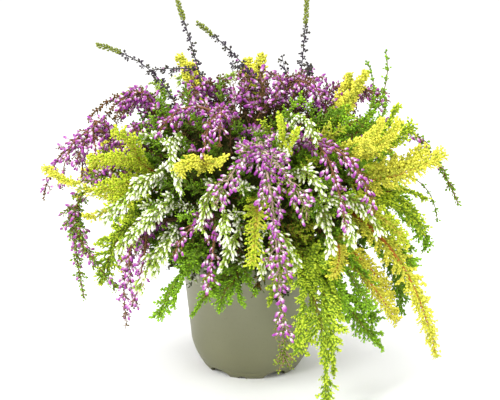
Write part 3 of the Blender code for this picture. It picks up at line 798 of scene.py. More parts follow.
def add_twig(lines, habit, foot, way, plane, length, ages, leafy, buds):
    """A side twig, and shorter offshoots from it by turns to its left and right."""
    curl = plane.cross(way) * habit["curl"] - Vector((0, 0, habit["sag"]))
    pieces = 4 if length > LONG_TWIG else 2
    points = [foot + (way * t + curl * t * t) * length
              for t in [i / pieces for i in range(pieces + 1)]]
    thick = habit["twig_thick"]
    lines.add(points, (thick, thick * TWIG_END), ages, (leafy, leafy), (buds, buds))
    at = habit["offshoots_from"] * length
    spread = math.radians(habit["offshoot_angle"])
    turn = 1
    while at < length - OFFSHOOTS_END:
        t = at / length
        out = plane.cross(way) * turn + plane * habit["ruffle"] * turn
        aside = (way * math.cos(spread) + out.normalized() * math.sin(spread)).normalized()
        reach = habit["offshoot_reach"] * length * (1.0 - t) + OFFSHOOT_LEAST
        start = foot + (way * t + curl * t * t) * length
        lines.add([start, start + aside * reach], (thick * OFFSHOOT_THICK, thick * TWIG_END),
                  (ages[0] + (ages[1] - ages[0]) * t, ages[1]), (leafy, leafy), (buds, buds))
        turn = -turn
        at += habit["offshoot_gap"]


FACING_OUT = 0.8
FACING_UP = 0.6
LOOSE_TURN = 0.4
LOOSE_ANGLE = 12
UNEVEN_LENGTH = (0.7, 1.15)
UNEVEN_AGE = (-0.15, 0.10)
UNEVEN_GAP = (0.8, 1.2)
STEM_AGE_SHARE = 0.6


def side_twigs(lines, points, habit, draw, stem_young, bare=0.0, fullness=1.0):
    """Twigs along a stem: shorter to its end, wider apart to its sides than above."""
    reached = 0.0
    wanted = bare
    turn = draw.uniform(0.0, habit["first_turn"])
    whole = length_of(points)
    longest, shortest = habit["twig_length"]
    longest *= fullness
    facing_out = Vector((0.0, math.copysign(FACING_OUT, points[0].y), FACING_UP))
    side = (points[-1] - points[0]).cross(facing_out)
    side = side.normalized() if side.length > 1.0 else Vector((1, 0, 0))
    for a, b in zip(points, points[1:]):
        along = (b - a).normalized()
        while wanted < reached + (b - a).length:
            foot = a + along * (wanted - reached)
            share = wanted / whole
            across = (side - along * side.dot(along)).normalized()
            above = across.cross(along)
            for way in range(habit["twigs_round"]):
                angle = turn + 2 * math.pi * way / habit["twigs_round"]
                angle += draw.uniform(-LOOSE_TURN, LOOSE_TURN) * habit["loose"]
                out = across * math.cos(angle) + above * math.sin(angle)
                flat = habit["flat"] + (1.0 - habit["flat"]) * abs(math.cos(angle))
                length = longest + (shortest - longest) * share ** habit["taper"]
                length *= flat * draw.uniform(*UNEVEN_LENGTH)
                loose = draw.uniform(-LOOSE_ANGLE, LOOSE_ANGLE) * habit["loose"]
                spread = math.radians(habit["twig_angle"] + loose)
                start_way = along * math.cos(spread) + out * math.sin(spread)
                if share > habit["buds_until"]:
                    length *= habit["end_twigs"]
                at = stem_young[0] + (stem_young[1] - stem_young[0]) * share
                at += draw.uniform(*UNEVEN_AGE)
                ages = (habit["twig_age"] + at * STEM_AGE_SHARE, min(1.0, at + habit["tip_age"]))
                budding = habit["buds_until"] > share > habit["buds_from"]
                add_twig(lines, habit, foot, start_way, out.cross(along), length, ages,
                         habit["leafy"], habit["bud_share"] if budding else 0.0)
            growth = 1 + habit["gap_growth"] * share
            wanted += habit["twig_gap"] * growth * draw.uniform(*UNEVEN_GAP)
            turn += habit["twig_turn"]
        reached += (b - a).length


purple_bark = bark_material("purple_heather_bark", "A87C52", "86502E")
purple_leaf = leaf_material("olive_leaves", "3C3414", "705E30", 0.6)
purple_bud = bud_material("magenta_buds", "FBEAF2", "CE84C6", "943496")
white_bark = bark_material("white_heather_bark", "7A5A30", "8E9A3C")
white_leaf = leaf_material("lime_leaves", "367212", "AACC3A", 0.55)
white_bud = bud_material("cream_buds", "A4BE48", "E6EAC2", "FAFAEC")
golden_bark = bark_material("golden_heather_bark", "B4580E", "D8D448", 0.6)
golden_leaf = leaf_material("golden_leaves", "4C8E14", "F2EE58", unevenness=0.22)
lime_gold_leaf = leaf_material("lime_gold_leaves", "4A8612", "CCDE3A", unevenness=0.22)
green_bark = bark_material("green_heather_bark", "8A4414", "7CA026", 0.6)
green_leaf = leaf_material("green_leaves", "2A5C0A", "98C82E", unevenness=0.30)
# Painted shade: a darker copy of the green leaves, for shoots low and deep in the bush.
shaded_green_leaf = leaf_material("shaded_green_leaves", "2E4A08", "6E9A1C", 0.55, 0.22)

CROSSWISE = 1.57

# A habit is how a kind of shoot grows. Its lengths are millimetres and its angles degrees,
# but a turn is in radians. An age runs from 0 for old wood to 1 for the youngest growth.

PURPLE = dict(
    bark=purple_bark, leaf=purple_leaf, bud=purple_bud, bud_shape=BUD, bark_sides=4,
    stem_thick=1.6, stem_leafy=(0.2, 1.0), twig_thick=0.55, twigs_round=2, twig_turn=CROSSWISE,
    loose=0.8, twig_gap=5.0, gap_growth=0.9, twig_length=(19.0, 5.0), twig_angle=50.0,
    taper=0.7, flat=0.55, curl=0.15, sag=0.22, end_twigs=0.5, offshoots_from=2.0,
    offshoot_gap=5.5, offshoot_angle=45.0, offshoot_reach=0.3, ruffle=0.8,
    first_turn=3.0, stem_age=0.9, twig_age=0.0, tip_age=0.45, leafy=0.8, leaf_step=1.1,
    leaf_length=2.2, leaf_spread=0.8,
    bud_step=1.7, bud_length=5.6, bud_spread=0.85, bud_droop=0.25, bud_stalk=0.2,
    buds_from=0.03, buds_until=0.93, bud_share=0.58, main_buds=0.1, catkin=0, tuft=0,
    twigs_young=0.6)
WHITE = dict(
    bark=white_bark, leaf=white_leaf, bud=white_bud, bud_shape=SLIM_BUD, bark_sides=4,
    stem_thick=0.9, stem_leafy=(1.0, 0.8), twig_thick=0.45, twigs_round=2, twig_turn=0.5,
    loose=0.5, twig_gap=5.2, gap_growth=0.1, twig_length=(17.0, 7.0), twig_angle=27.0,
    taper=0.8, flat=0.4, curl=-0.10, sag=0.16, end_twigs=0.8, offshoots_from=2.0,
    offshoot_gap=6.0, offshoot_angle=40.0, offshoot_reach=0.3, ruffle=0.5,
    first_turn=0.5, stem_age=0.9, twig_age=0.1, tip_age=0.5, leafy=0.7, leaf_step=0.9,
    leaf_length=2.6, leaf_spread=0.6,
    bud_step=1.3, bud_length=6.4, bud_spread=0.42, bud_droop=0.32, bud_stalk=0.3,
    buds_from=0.12, buds_until=0.97, bud_share=0.43, main_buds=0.5, catkin=0, tuft=0,
    twigs_young=0.6)
GOLDEN = dict(
    bark=golden_bark, leaf=golden_leaf, bud=white_bud, bud_shape=SLIM_BUD, bark_sides=4,
    stem_thick=1.3, stem_leafy=(0.0, 0.6), twig_thick=1.05, twigs_round=2, twig_turn=0.0,
    loose=0.8, twig_gap=4.0, gap_growth=0.0, twig_length=(14.0, 6.0), twig_angle=34.0,
    taper=1.4, flat=0.5, curl=-0.2, sag=0.0, end_twigs=1.0, offshoots_from=0.3,
    offshoot_gap=4.2, offshoot_angle=32.0, offshoot_reach=0.34, ruffle=0.3,
    first_turn=0.0, stem_age=0.4, twig_age=0.18, tip_age=0.78, leafy=1.0, leaf_step=1.25,
    leaf_length=3.3, leaf_spread=0.16,
    bud_step=50.0, bud_length=1.0, bud_spread=1.0, bud_droop=0.0, bud_stalk=0.0,
    buds_from=2.0, buds_until=2.0, bud_share=0.0, main_buds=0.0, catkin=0, tuft=0,
    twigs_young=0.6)
LIME_GOLD = dict(GOLDEN, leaf=lime_gold_leaf)
GREEN = dict(GOLDEN, bark=green_bark, leaf=green_leaf, sag=0.06, loose=1.2, twig_turn=0.2,
             twig_gap=4.8, twig_length=(16.0, 8.0), offshoot_reach=0.42, twig_age=0.14,
             leaf_spread=0.26)
SHADED_GREEN = dict(GREEN, leaf=shaded_green_leaf)
LIME = dict(GREEN, leaf=lime_gold_leaf)


# Each plant has a crown: a short trunk that stands in the compost and the dense inner
# growth it carries. Under the leafy twigs lies a tangle, made as a lumpy body cut where the
# three plants meet and painted near-black green as the shade between the twigs. Sprigs are
# strewn over it by Geometry Nodes.

CROWN_STEP = 6.0
PLANTS_MEET = Vector((14.0, -30.0, 0.0))
CROWN_SEAM = 0.8
SPRIG_LENGTH = 44.0
SPRIG_LEANS = (-0.25, 0.1, 0.3)
SPRIG_SIDEWAYS = 0.15
SPRIG_RISE = 0.95
SPRIG_KNEE = 0.6
SPRIG_TONES = 0.8
CHANGE_BLUR = 18.0
BELOW_ONE = 0.999
TANGLE_SHARE = 0.88
TANGLE_LUMP = 0.03
BARE_ABOVE_POT = 16.0
BARE_ROUND_POT = 10.0
TRUNK_THINNER = (1.0, 1.8)
TRUNK_SIDES = 10
TRUNK_UNDER_MIDDLE = 30.0
TRUNK_LEAN = 1.1
TRUNK_BEND = Vector((1.5, -1.0, 0.0))


def on_crown(azimuth, latitude):
    """The point of the crowns' ball at this azimuth and latitude in degrees."""
    a, b = math.radians(azimuth), math.radians(latitude)
    rise = (CROWN_RISE if b > 0 else CROWN_DROP) * math.sin(b)
    flat = CROWN_RADIUS * math.cos(b)
    return Vector((flat * math.cos(a), flat * math.sin(a), CROWN_MIDDLE + rise))


def sprig(name, habit, seed, lean):
    """A short leafy sprig from the origin up +Z, hidden until a crown is strewn with it."""
    draw = random.Random(seed)
    lines = Lines()
    length = SPRIG_LENGTH
    sideways = draw.uniform(-SPRIG_SIDEWAYS, SPRIG_SIDEWAYS)
    tip = Vector((lean * length, sideways * length, length * SPRIG_RISE))
    points = even_curve(Vector(), Vector((0, 0, length * SPRIG_KNEE)), tip, CROWN_STEP)
    lines.add(points, (habit["stem_thick"] * 0.7, 0.3), (0.1, 0.8), (1.0, 1.0),
              (0.0, habit["main_buds"]))
    side_twigs(lines, points, habit, draw, (0.1, 0.7), bare=6.0)
    return lines.clothe(name, habit, seed)


def tangle_shade_material():
    # Painted shade: the tangle's near-black green stands for the shade deep between the twigs.
    made, tree, shader = new_material("inner_tangle_shade")
    twigs = noise(tree, 260.0, 6.0, 0.75)
    ramp = colour_ramp(tree, twigs, (0.35, colour("162408")), (0.7, colour("4A4C20")))
    plug(tree, shader.inputs, {"Base Color": ramp, "Roughness": 0.9, "Specular IOR Level": 0.05})
    add_bump(tree, shader, twigs, 1.0, 0.003)
    return made


def crown_tree():
    """Strews sprigs over a crown's body, leaning out and up, and keeps them off the pot."""
    tree, given, result = new_tree("crown_sprigs", {
        "Sprigs": "Collection", "Spacing": "Float", "Most Per Area": "Float", "Seed": "Int",
        "Lean": "Float", "Lift": "Float", "Fan": "Float", "Scale Low": "Float",
        "Scale High": "Float", "Change Height": "Float", "Kinds Each": "Int",
        "Tangle": "Material"})
    seed = given["Seed"]
    points = node(tree, "GeometryNodeDistributePointsOnFaces",
                  {"Mesh": given["Geometry"], "Seed": seed, "Distance Min": given["Spacing"],
                   "Selection": exceeds(tree, line_value(tree, "skin"), 0.5),
                   "Density Max": given["Most Per Area"]},
                  distribute_method="POISSON").outputs
    place, height = place_and_height(tree)
    wide = 1000 / CROWN_RADIUS
    from_middle = vector_maths(tree, "SUBTRACT", place, (0.0, 0.0, CROWN_MIDDLE * MM))
    aside = vector_maths(tree, "MULTIPLY", from_middle, (wide, 0.0, wide))
    loose = vector_maths(tree, "SCALE", random_vector(tree, -1.0, 1.0, seed), given["Lean"])
    fanned = vector_maths(tree, "SCALE", aside, given["Fan"])
    raised = node(tree, "ShaderNodeCombineXYZ", {"Z": given["Lift"]}).outputs[0]
    way = points["Normal"]
    for pull in (loose, fanned, raised):
        way = vector_maths(tree, "ADD", way, pull)
    spun = node(tree, "FunctionNodeAxisAngleToRotation",
                {"Axis": (0.0, 0.0, 1.0), "Angle": random_float(tree, 0.0, 2 * math.pi, seed, 3)})
    turned = node(tree, "FunctionNodeRotateRotation",
                  {"Rotation": facing(tree, way), "Rotate By": spun.outputs[0]},
                  rotation_space="LOCAL").outputs[0]
    sprigs = node(tree, "GeometryNodeCollectionInfo",
                  {"Collection": given["Sprigs"], "Separate Children": True,
                   "Reset Children": True}).outputs[0]
    size = node(tree, "FunctionNodeRandomValue",
                {2: given["Scale Low"], 3: given["Scale High"], "Seed": seed}).outputs[1]
    blur = CHANGE_BLUR * MM
    blurred = maths(tree, "ADD", height, random_float(tree, -blur, blur, seed, 5))
    low = maths(tree, "LESS_THAN", blurred, given["Change Height"])
    kind = maths(tree, "MULTIPLY_ADD", random_float(tree, 0.0, BELOW_ONE, seed, 6),
                 given["Kinds Each"], maths(tree, "MULTIPLY", low, given["Kinds Each"]))
    placed = node(tree, "GeometryNodeInstanceOnPoints",
                  {"Points": points["Points"], "Instance": sprigs, "Pick Instance": True,
                   "Instance Index": maths(tree, "FLOOR", kind), "Rotation": turned,
                   "Scale": size}).outputs[0]
    tone = random_float(tree, -SPRIG_TONES, SPRIG_TONES, seed, 4)
    toned = marked(tree, placed, "sprig_tone", tone)
    both = joined(tree, painted(tree, given["Geometry"], given["Tangle"]), toned)
    tree.links.new(made_real(tree, both), result[0])
    return tree


def crown_body(name, middle):
    """The tangle of one plant, painted dark as shade: its third of a lumpy ball, cut where the
    plants meet.
    """
    ball = bmesh.new()
    bmesh.ops.create_icosphere(ball, subdivisions=4, radius=1.0)
    for vertex in ball.verts:
        x, y, z = vertex.co
        lump = TANGLE_SHARE
        lump += TANGLE_LUMP * math.sin(5 * x + 2) * math.sin(6 * y) * math.cos(4 * z)
        lump += TANGLE_LUMP * math.sin(17 * x) * math.sin(19 * y + 1) * math.sin(18 * z)
        height = (CROWN_RISE if z > 0 else CROWN_DROP) * z
        vertex.co = Vector((x * CROWN_RADIUS, y * CROWN_RADIUS, height)) * lump * MM
        vertex.co.z += CROWN_MIDDLE * MM
    for side in (-60, 60):
        angle = math.radians(middle + side)
        inward = Vector((-math.sin(angle), math.cos(angle), 0)) * (1 if side < 0 else -1)
        cut = bmesh.ops.bisect_plane(
            ball, geom=ball.verts[:] + ball.edges[:] + ball.faces[:],
            plane_co=(PLANTS_MEET + inward * CROWN_SEAM / 2) * MM, plane_no=inward,
            clear_inner=True)
        rim = [g for g in cut["geom_cut"] if isinstance(g, bmesh.types.BMEdge)]
        bmesh.ops.contextual_create(ball, geom=rim)
    made = object_from(ball, name)
    skin = made.data.attributes.new("skin", "FLOAT", "FACE")
    for i, face in enumerate(made.data.polygons):
        x, y, z = face.center / MM
        by_pot = z < POT_HEIGHT + BARE_ABOVE_POT and math.hypot(x, y) < RIM_RADIUS + BARE_ROUND_POT
        skin.data[i].value = 0.0 if len(face.vertices) > 4 or by_pot else 1.0
    return made


def trunk_lines(spot):
    """The trunk, from inside the compost up into the crown."""
    lines = Lines()
    foot = Vector((*spot, SOIL_TOP - TRUNK_DEPTH))
    top = Vector((spot[0] * TRUNK_LEAN, spot[1] * TRUNK_LEAN,
                  CROWN_MIDDLE - TRUNK_UNDER_MIDDLE))
    knee = (foot + top) / 2 + TRUNK_BEND
    thick = [TRUNK_RADIUS - thinner for thinner in TRUNK_THINNER]
    points = even_curve(foot, knee, top, CROWN_STEP)
    lines.add(points, thick, (0.0, 0.2), (0.0, 0.0), (0.0, 0.0))
    return lines


def gather(name, objects):
    """Hides objects in a collection of their own, for a tree to pick from."""
    made = bpy.data.collections.new(name)
    for each in objects:
        bpy.context.scene.collection.objects.unlink(each)
        made.objects.link(each)
    return made


def drop(collection):
    for each in list(collection.objects):
        bpy.data.objects.remove(each)
    bpy.data.collections.remove(collection)


TANGLE_SHADE = tangle_shade_material()
CROWN_SPRIGS = crown_tree()
SMALL_TWIGS = dict(twigs_round=2, twig_length=(13.0, 5.0), bark_sides=3, offshoots_from=2.0,
                   leaf_step=1.4, leaf_length=3.0, flat=0.8, loose=1.0, twig_turn=CROSSWISE)


def sprig_habit(habit, gap, **more):
    """A habit as it grows on a crown's short sprigs, with its twigs this far apart."""
    return {**habit, **SMALL_TWIGS, "twig_gap": gap, **more}


PURPLE_SPRIG = sprig_habit(PURPLE, 6.5, bud_shape=PLUMP_BUD, bud_share=0.46, bud_length=6.2,
                           buds_from=0.38)
WHITE_SPRIG = sprig_habit(WHITE, 5.2)
GOLDEN_SPRIG = sprig_habit(LIME_GOLD, 4.0)
GREEN_SPRIG = sprig_habit(GREEN, 4.2)
LIME_SPRIG = sprig_habit(LIME, 4.2)
SHADED_GREEN_SPRIG = sprig_habit(SHADED_GREEN, 4.6)
KINDS_EACH = 3
# Each crown's first three kinds of sprig grow above its change height and the last three below it;
# the darker green kind is painted shade.
CROWN_GROWTH = {
    "purple_heather_crown": ("olive_foliage", 150.0, 10.0, (
        PURPLE_SPRIG, PURPLE_SPRIG, PURPLE_SPRIG, GREEN_SPRIG, SHADED_GREEN_SPRIG, PURPLE_SPRIG)),
    "white_heather_crown": ("lime_foliage", 196.0, 8.3, (
        PURPLE_SPRIG, PURPLE_SPRIG, SHADED_GREEN_SPRIG, GREEN_SPRIG, WHITE_SPRIG, SHADED_GREEN_SPRIG)),
    "golden_heather_crown": ("gold_green_foliage", 205.0, 7.5, (
        GOLDEN_SPRIG, PURPLE_SPRIG, LIME_SPRIG, GREEN_SPRIG, GOLDEN_SPRIG, SHADED_GREEN_SPRIG)),
}
for crown_seed, (crown_name, (middle, spot)) in enumerate(CROWNS.items()):
    crown_slot, change_height, spacing, high_then_low = CROWN_GROWTH[crown_name]
    sprigs = gather("sprigs", [
        sprig(f"sprig_{k}", habit, 40 * crown_seed + k, SPRIG_LEANS[k % len(SPRIG_LEANS)])
        for k, habit in enumerate(high_then_low)])
    crown = crown_body(f"{crown_name}_growth", middle)
    grow_with(crown, CROWN_SPRIGS, {
        "Sprigs": sprigs, "Spacing": spacing * MM, "Most Per Area": 20000.0,
        "Seed": crown_seed + 3, "Lean": 0.55, "Lift": 0.12, "Fan": 0.7, "Scale Low": 0.65,
        "Scale High": 1.1, "Change Height": change_height * MM, "Kinds Each": KINDS_EACH,
        "Tangle": TANGLE_SHADE})
    drop(sprigs)
    trunk = trunk_lines(spot).clothe("trunk", dict(PURPLE, bark_sides=TRUNK_SIDES), 1)
    both = bmesh.new()
    both.from_mesh(crown.data)
    wood = len(crown.data.materials)
    crown.data.materials.append(purple_bark)
    trunk.data.materials.clear()
    trunk.data.materials.append(purple_bark)
    for face in trunk.data.polygons:
        face.material_index = wood
    both.from_mesh(trunk.data)
    both.to_mesh(crown.data)
    both.free()
    bpy.data.objects.remove(trunk)
    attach(crown, BODY)
    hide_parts(crown_name)


# A long spray starts a little inside its crown, bends over its knee to its tip, and may
# fork. Its side twigs follow the habit of its plant. This is how every spray below is made.

FORK_SHARE = 0.8
STEM_STEP = 5.0
STEM_END = 0.35
FORK_END = 0.3
ROOTED_IN = 6.0
STEM_BARE = 9.0
FORK_BARE = 4.0
STEM_YOUNG = 0.05
FORK_YOUNG = 0.15
CATKIN_THICK = (0.7, 0.5)
COMPANY_FROM = 0.08
COMPANY_STEP = 0.07
COMPANY_APART = 10.0
COMPANY_SLANT = 0.6
COMPANY_SHORTER = 0.17
COMPANY_KNEE_APART = 0.7
COMPANY_KNEE_SHORTER = 0.4
TUFT_LENGTH = 11.0
TUFT_OPEN = 0.9
TUFT_THICK = (0.6, 0.4)


def end_tuft(lines, points, count):
    """Short leafy twigs round the end of a stem."""
    along = (points[-1] - points[-2]).normalized()
    side = along.orthogonal().normalized()
    for k in range(count):
        out = Matrix.Rotation(GOLDEN_ANGLE * k, 3, along) @ side
        way = (along + out * TUFT_OPEN).normalized() * TUFT_LENGTH
        foot = points[-1] - along * k
        lines.add([foot, foot + way * 0.6, foot + way], TUFT_THICK, (0.5, 1.0), (1.0, 1.0),
                  (0.0, 0.0))


def grow_spray(name, habit, slot, root, knee, tip, fullness, company, *forks, seed, extra=False):
    """A spray with its forks, and with a company of like shoots beside it. It stands in its
    node's place, unless it is an extra one."""
    draw = random.Random(name)
    lines = Lines()
    start, knee, tip = on_crown(*root), Vector(knee), Vector(tip)
    level = (tip - start).cross(Vector((0, 0, 1))).normalized()
    aside = (level + (tip - start).cross(level).normalized() * COMPANY_SLANT) * COMPANY_APART
    forks = list(forks)
    for k in range(company):
        offset = aside * (k // 2 + 1) * (1 if k % 2 else -1)
        shorten = (start - tip) * COMPANY_SHORTER * (k + 1)
        fork_knee = knee + offset * COMPANY_KNEE_APART + shorten * COMPANY_KNEE_SHORTER
        forks.append((COMPANY_FROM + COMPANY_STEP * k, fork_knee, tip + offset + shorten))

    def stem(points, foot_thick, end_thick):
        lines.add(points, (foot_thick, end_thick), (0.0, habit["stem_age"]),
                  habit["stem_leafy"], (0.0, habit["main_buds"]))

    inside = start - (knee - start).normalized() * ROOTED_IN
    points = [inside] + even_curve(start, knee, tip, STEM_STEP)
    woody = len(points) - habit["catkin"]
    stem(points[:woody], habit["stem_thick"], STEM_END)
    if woody < len(points):
        lines.add(points[woody - 1:], CATKIN_THICK, (1.0, 1.0), (1.0, 1.0), (0.0, 0.0))
    side_twigs(lines, points[:woody], habit, draw, (STEM_YOUNG, habit["twigs_young"]),
               bare=STEM_BARE, fullness=fullness)
    end_tuft(lines, points, habit["tuft"])
    for share, fork_knee, fork_tip in forks:
        leaves_at = bend(start, knee, tip, share)
        branch = even_curve(leaves_at, Vector(fork_knee), Vector(fork_tip), STEM_STEP)
        stem(branch, habit["stem_thick"] * FORK_SHARE, FORK_END)
        side_twigs(lines, branch, habit, draw, (FORK_YOUNG, habit["twigs_young"]),
                   bare=FORK_BARE, fullness=fullness * FORK_SHARE)
    spray = lines.clothe(f"{name}_spray", habit, seed)
    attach(spray, BODY)
    if not extra:
        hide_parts(name)


def grow_sprays(slot, first_seed, sprays, extra=False):
    """Sprays of one colour. Each is its name, habit, root, knee, tip, fullness, company and
    forks, and a fork is how far along it parts, its knee and its tip."""
    for number, (name, habit, *route) in enumerate(sprays):
        grow_spray(name, habit, slot, *route, seed=first_seed + number, extra=extra)


# Purple-bud heather: brown wiry stems and dark olive leaves, hung with magenta buds that
# are pale at their stalks. The big spray at the front has the thickest, greyest wood.

woody_bark = bark_material("woody_heather_bark", "D0BCA8", "8A5A4A")
leafy_olive = leaf_material("leafy_olive", "3C4C18", "8EA23A", 0.6)
leafy_green = leaf_material("leafy_green", "34541A", "8CB03A", 0.6)
PURPLE_FRONT = dict(
    PURPLE, bark=woody_bark, leaf=leafy_olive, stem_thick=2.1, stem_age=0.7, flat=0.35,
    twig_gap=4.2, gap_growth=0.7, loose=0.6, first_turn=0.0, twig_turn=0.35,
    twig_length=(19.0, 8.0), end_twigs=1.0, leaf_length=2.8, bud_share=0.62, tuft=9)
PURPLE_ARCH = dict(PURPLE, gap_growth=0.3, leaf_length=2.8, buds_until=0.70, end_twigs=0.7,
                   catkin=1)
PURPLE_LEAFY = dict(
    PURPLE, leaf=leafy_green, leafy=1.0, leaf_length=3.4, leaf_step=0.9, bud_share=0.5,
    buds_until=0.65, end_twigs=1.0, twig_age=0.3, tip_age=0.6, twig_gap=4.2, catkin=2)

grow_sprays("purple_buds", 100, (
    ("purple_front_fall", PURPLE_FRONT, (270, 58), (14, -158, 250), (25, -150, 62), 1.25, 0,
     (0.25, (-12, -130, 216), (-28, -142, 184)), (0.32, (30, -142, 208), (42, -146, 176))),
    ("purple_arch_left", PURPLE_ARCH, (180, 38), (-98, -2, 269), (-138, -12, 222), 0.95, 2,
     (0.35, (-104, -18, 250), (-114, -24, 226))),
    ("purple_reach_left", PURPLE, (192, 28), (-162, -22, 236), (-174, -40, 160), 0.95, 3,
     (0.45, (-135, -36, 216), (-146, -52, 192))),
    ("purple_hang_left", PURPLE_LEAFY, (203, 12), (-166, -55, 214), (-140, -60, 80), 1.0, 0,
     (0.58, (-158, -72, 148), (-112, -78, 96))),
    ("purple_low_left", PURPLE, (222, -12), (-112, -82, 152), (-103, -85, 66), 0.7, 1,
     (0.25, (-84, -98, 132), (-96, -104, 88))),
    ("purple_skirt", PURPLE, (250, -2), (-26, -125, 164), (-36, -124, 104), 0.8, 0,
     (0.15, (-42, -118, 176), (-62, -130, 138))),
    ("purple_right_fall", PURPLE, (300, 45), (58, -110, 246), (72, -134, 164), 0.95, 0,
     (0.35, (86, -98, 216), (96, -112, 168))),
    ("purple_arch_right", PURPLE_ARCH, (35, 45), (74, 42, 268), (110, 40, 222), 0.8, 0,
     (0.4, (98, 20, 246), (118, 18, 232))),
    ("purple_reach_right", PURPLE_LEAFY, (14, 26), (130, 2, 256), (177, -10, 148), 0.4, 0),
    ("purple_top_front", PURPLE, (238, 64), (-32, -85, 260), (-38, -124, 214), 0.9, 1,
     (0.2, (-58, -60, 256), (-76, -80, 222))),
))


# Dark shoots: the purple plant's thin young wood, nearly bare, with a few knots of leaves.
# They stand up out of the top of its crown, and one leans out like a wand.

shoot_bark = bark_material("shoot_bark", "4A4052", "788434")
shoot_leaf = leaf_material("shoot_leaves", "463C4C", "86923A", 0.6, 0.0)
SHOOT = dict(
    PURPLE, bark=shoot_bark, leaf=shoot_leaf, stem_thick=0.65, stem_leafy=(0.0, 0.0),
    stem_age=0.2, twigs_round=1, twig_turn=2.6, twig_gap=4.2, gap_growth=-0.3,
    twig_length=(4.2, 3.0), twig_angle=58.0, flat=1.0, loose=1.6, leaf_length=3.0,
    leaf_step=0.55, leaf_spread=0.9, leafy=1.0, tip_age=0.1, bud_share=0.25, bud_length=3.6,
    buds_until=0.7, end_twigs=0.8, main_buds=0.0, catkin=4, twigs_young=0.1)

grow_sprays("dark_shoots", 130, (
    ("purple_shoot_tall_left", SHOOT, (150, 62), (-50, 22, 278), (-63, 20, 318), 1.0, 0,
     (0.35, (-62, 6, 264), (-86, 2, 262))),
    ("purple_shoot_tall_middle", SHOOT, (60, 62), (-12, 32, 274), (-46, 12, 300), 1.0, 0,
     (0.3, (-4, 28, 256), (-20, 36, 262))),
    ("purple_shoot_tall_right", SHOOT, (48, 50), (45, 55, 262), (48, 55, 314), 1.0, 0,
     (0.3, (52, 35, 256), (47, 5, 266)), (0.15, (30, 52, 246), (26, 46, 268))),
    ("purple_shoot_wand_left", SHOOT, (166, 48), (-74, 16, 268), (-130, 4, 283), 1.0, 0),
))


# White-bud heather: lime green stems and leaves, with rows of slim cream buds that hang
# from arching sprays.

grow_sprays("white_buds", 150, (
    ("white_left_high", WHITE, (222, 22), (-82, -98, 202), (-118, -106, 160), 1.0, 1),
    ("white_left_mid", WHITE, (230, 8), (-76, -114, 176), (-106, -120, 140), 1.0, 2),
    ("white_centre_left", WHITE, (251, 22), (-34, -124, 192), (-40, -136, 164), 0.8, 0,
     (0.3, (-20, -128, 184), (-20, -138, 156))),
    ("white_low_left", WHITE, (234, -14), (-72, -108, 150), (-90, -118, 108), 1.0, 2),
    ("white_front", WHITE, (264, -4), (-8, -124, 160), (-24, -130, 130), 0.5, 0,
     (0.3, (12, -124, 156), (8, -128, 122)), (0.15, (28, -122, 166), (34, -134, 130))),
    ("white_top_left", WHITE, (226, 42), (-75, -88, 242), (-56, -122, 190), 0.8, 0),
    ("white_right_high", WHITE, (290, 26), (44, -122, 214), (54, -130, 186), 0.65, 0),
    ("white_right_mid", WHITE, (298, 8), (58, -120, 186), (60, -132, 144), 0.9, 0,
     (0.3, (72, -112, 186), (78, -122, 148)), (0.12, (84, -98, 190), (100, -112, 154))),
    ("white_top_right", WHITE, (306, 62), (44, -84, 250), (50, -108, 222), 0.6, 0),
))


# Golden foliage heather: feathery shoots, green inside, where they are older and where the
# painted shade falls, and bright yellow at their twigs' ends, on orange-brown stems. Two of
# them bear a few cream buds.

rusty_leaf = leaf_material("rusty_gold_leaves", "66560F", "D6D244", 0.55, 0.3)
TIP_GOLD = dict(GOLDEN, twig_length=(12.0, 4.0), taper=1.0, twig_angle=24.0, twig_gap=2.3,
                catkin=1)
FALL_GOLD = dict(GOLDEN, stem_thick=2.4, stem_leafy=(0.0, 0.0), stem_age=0.12, twig_gap=3.4,
                 twig_length=(16.5, 3.0), taper=1.5, twig_angle=38.0, offshoots_from=0.4,
                 loose=1.2)
LOW_GOLD = dict(FALL_GOLD, leaf=rusty_leaf, twig_length=(10.5, 4.5))
REACH_GOLD = dict(GOLDEN, twig_length=(9.0, 4.0), bud_step=1.4, bud_length=5.4, bud_spread=0.5,
                  buds_from=0.25, buds_until=0.7, bud_share=0.6)
FRONT_GOLD = dict(LIME_GOLD, bud_step=1.4, bud_length=5.4, bud_spread=0.5,
                  buds_from=0.1, buds_until=0.6, bud_share=0.4)

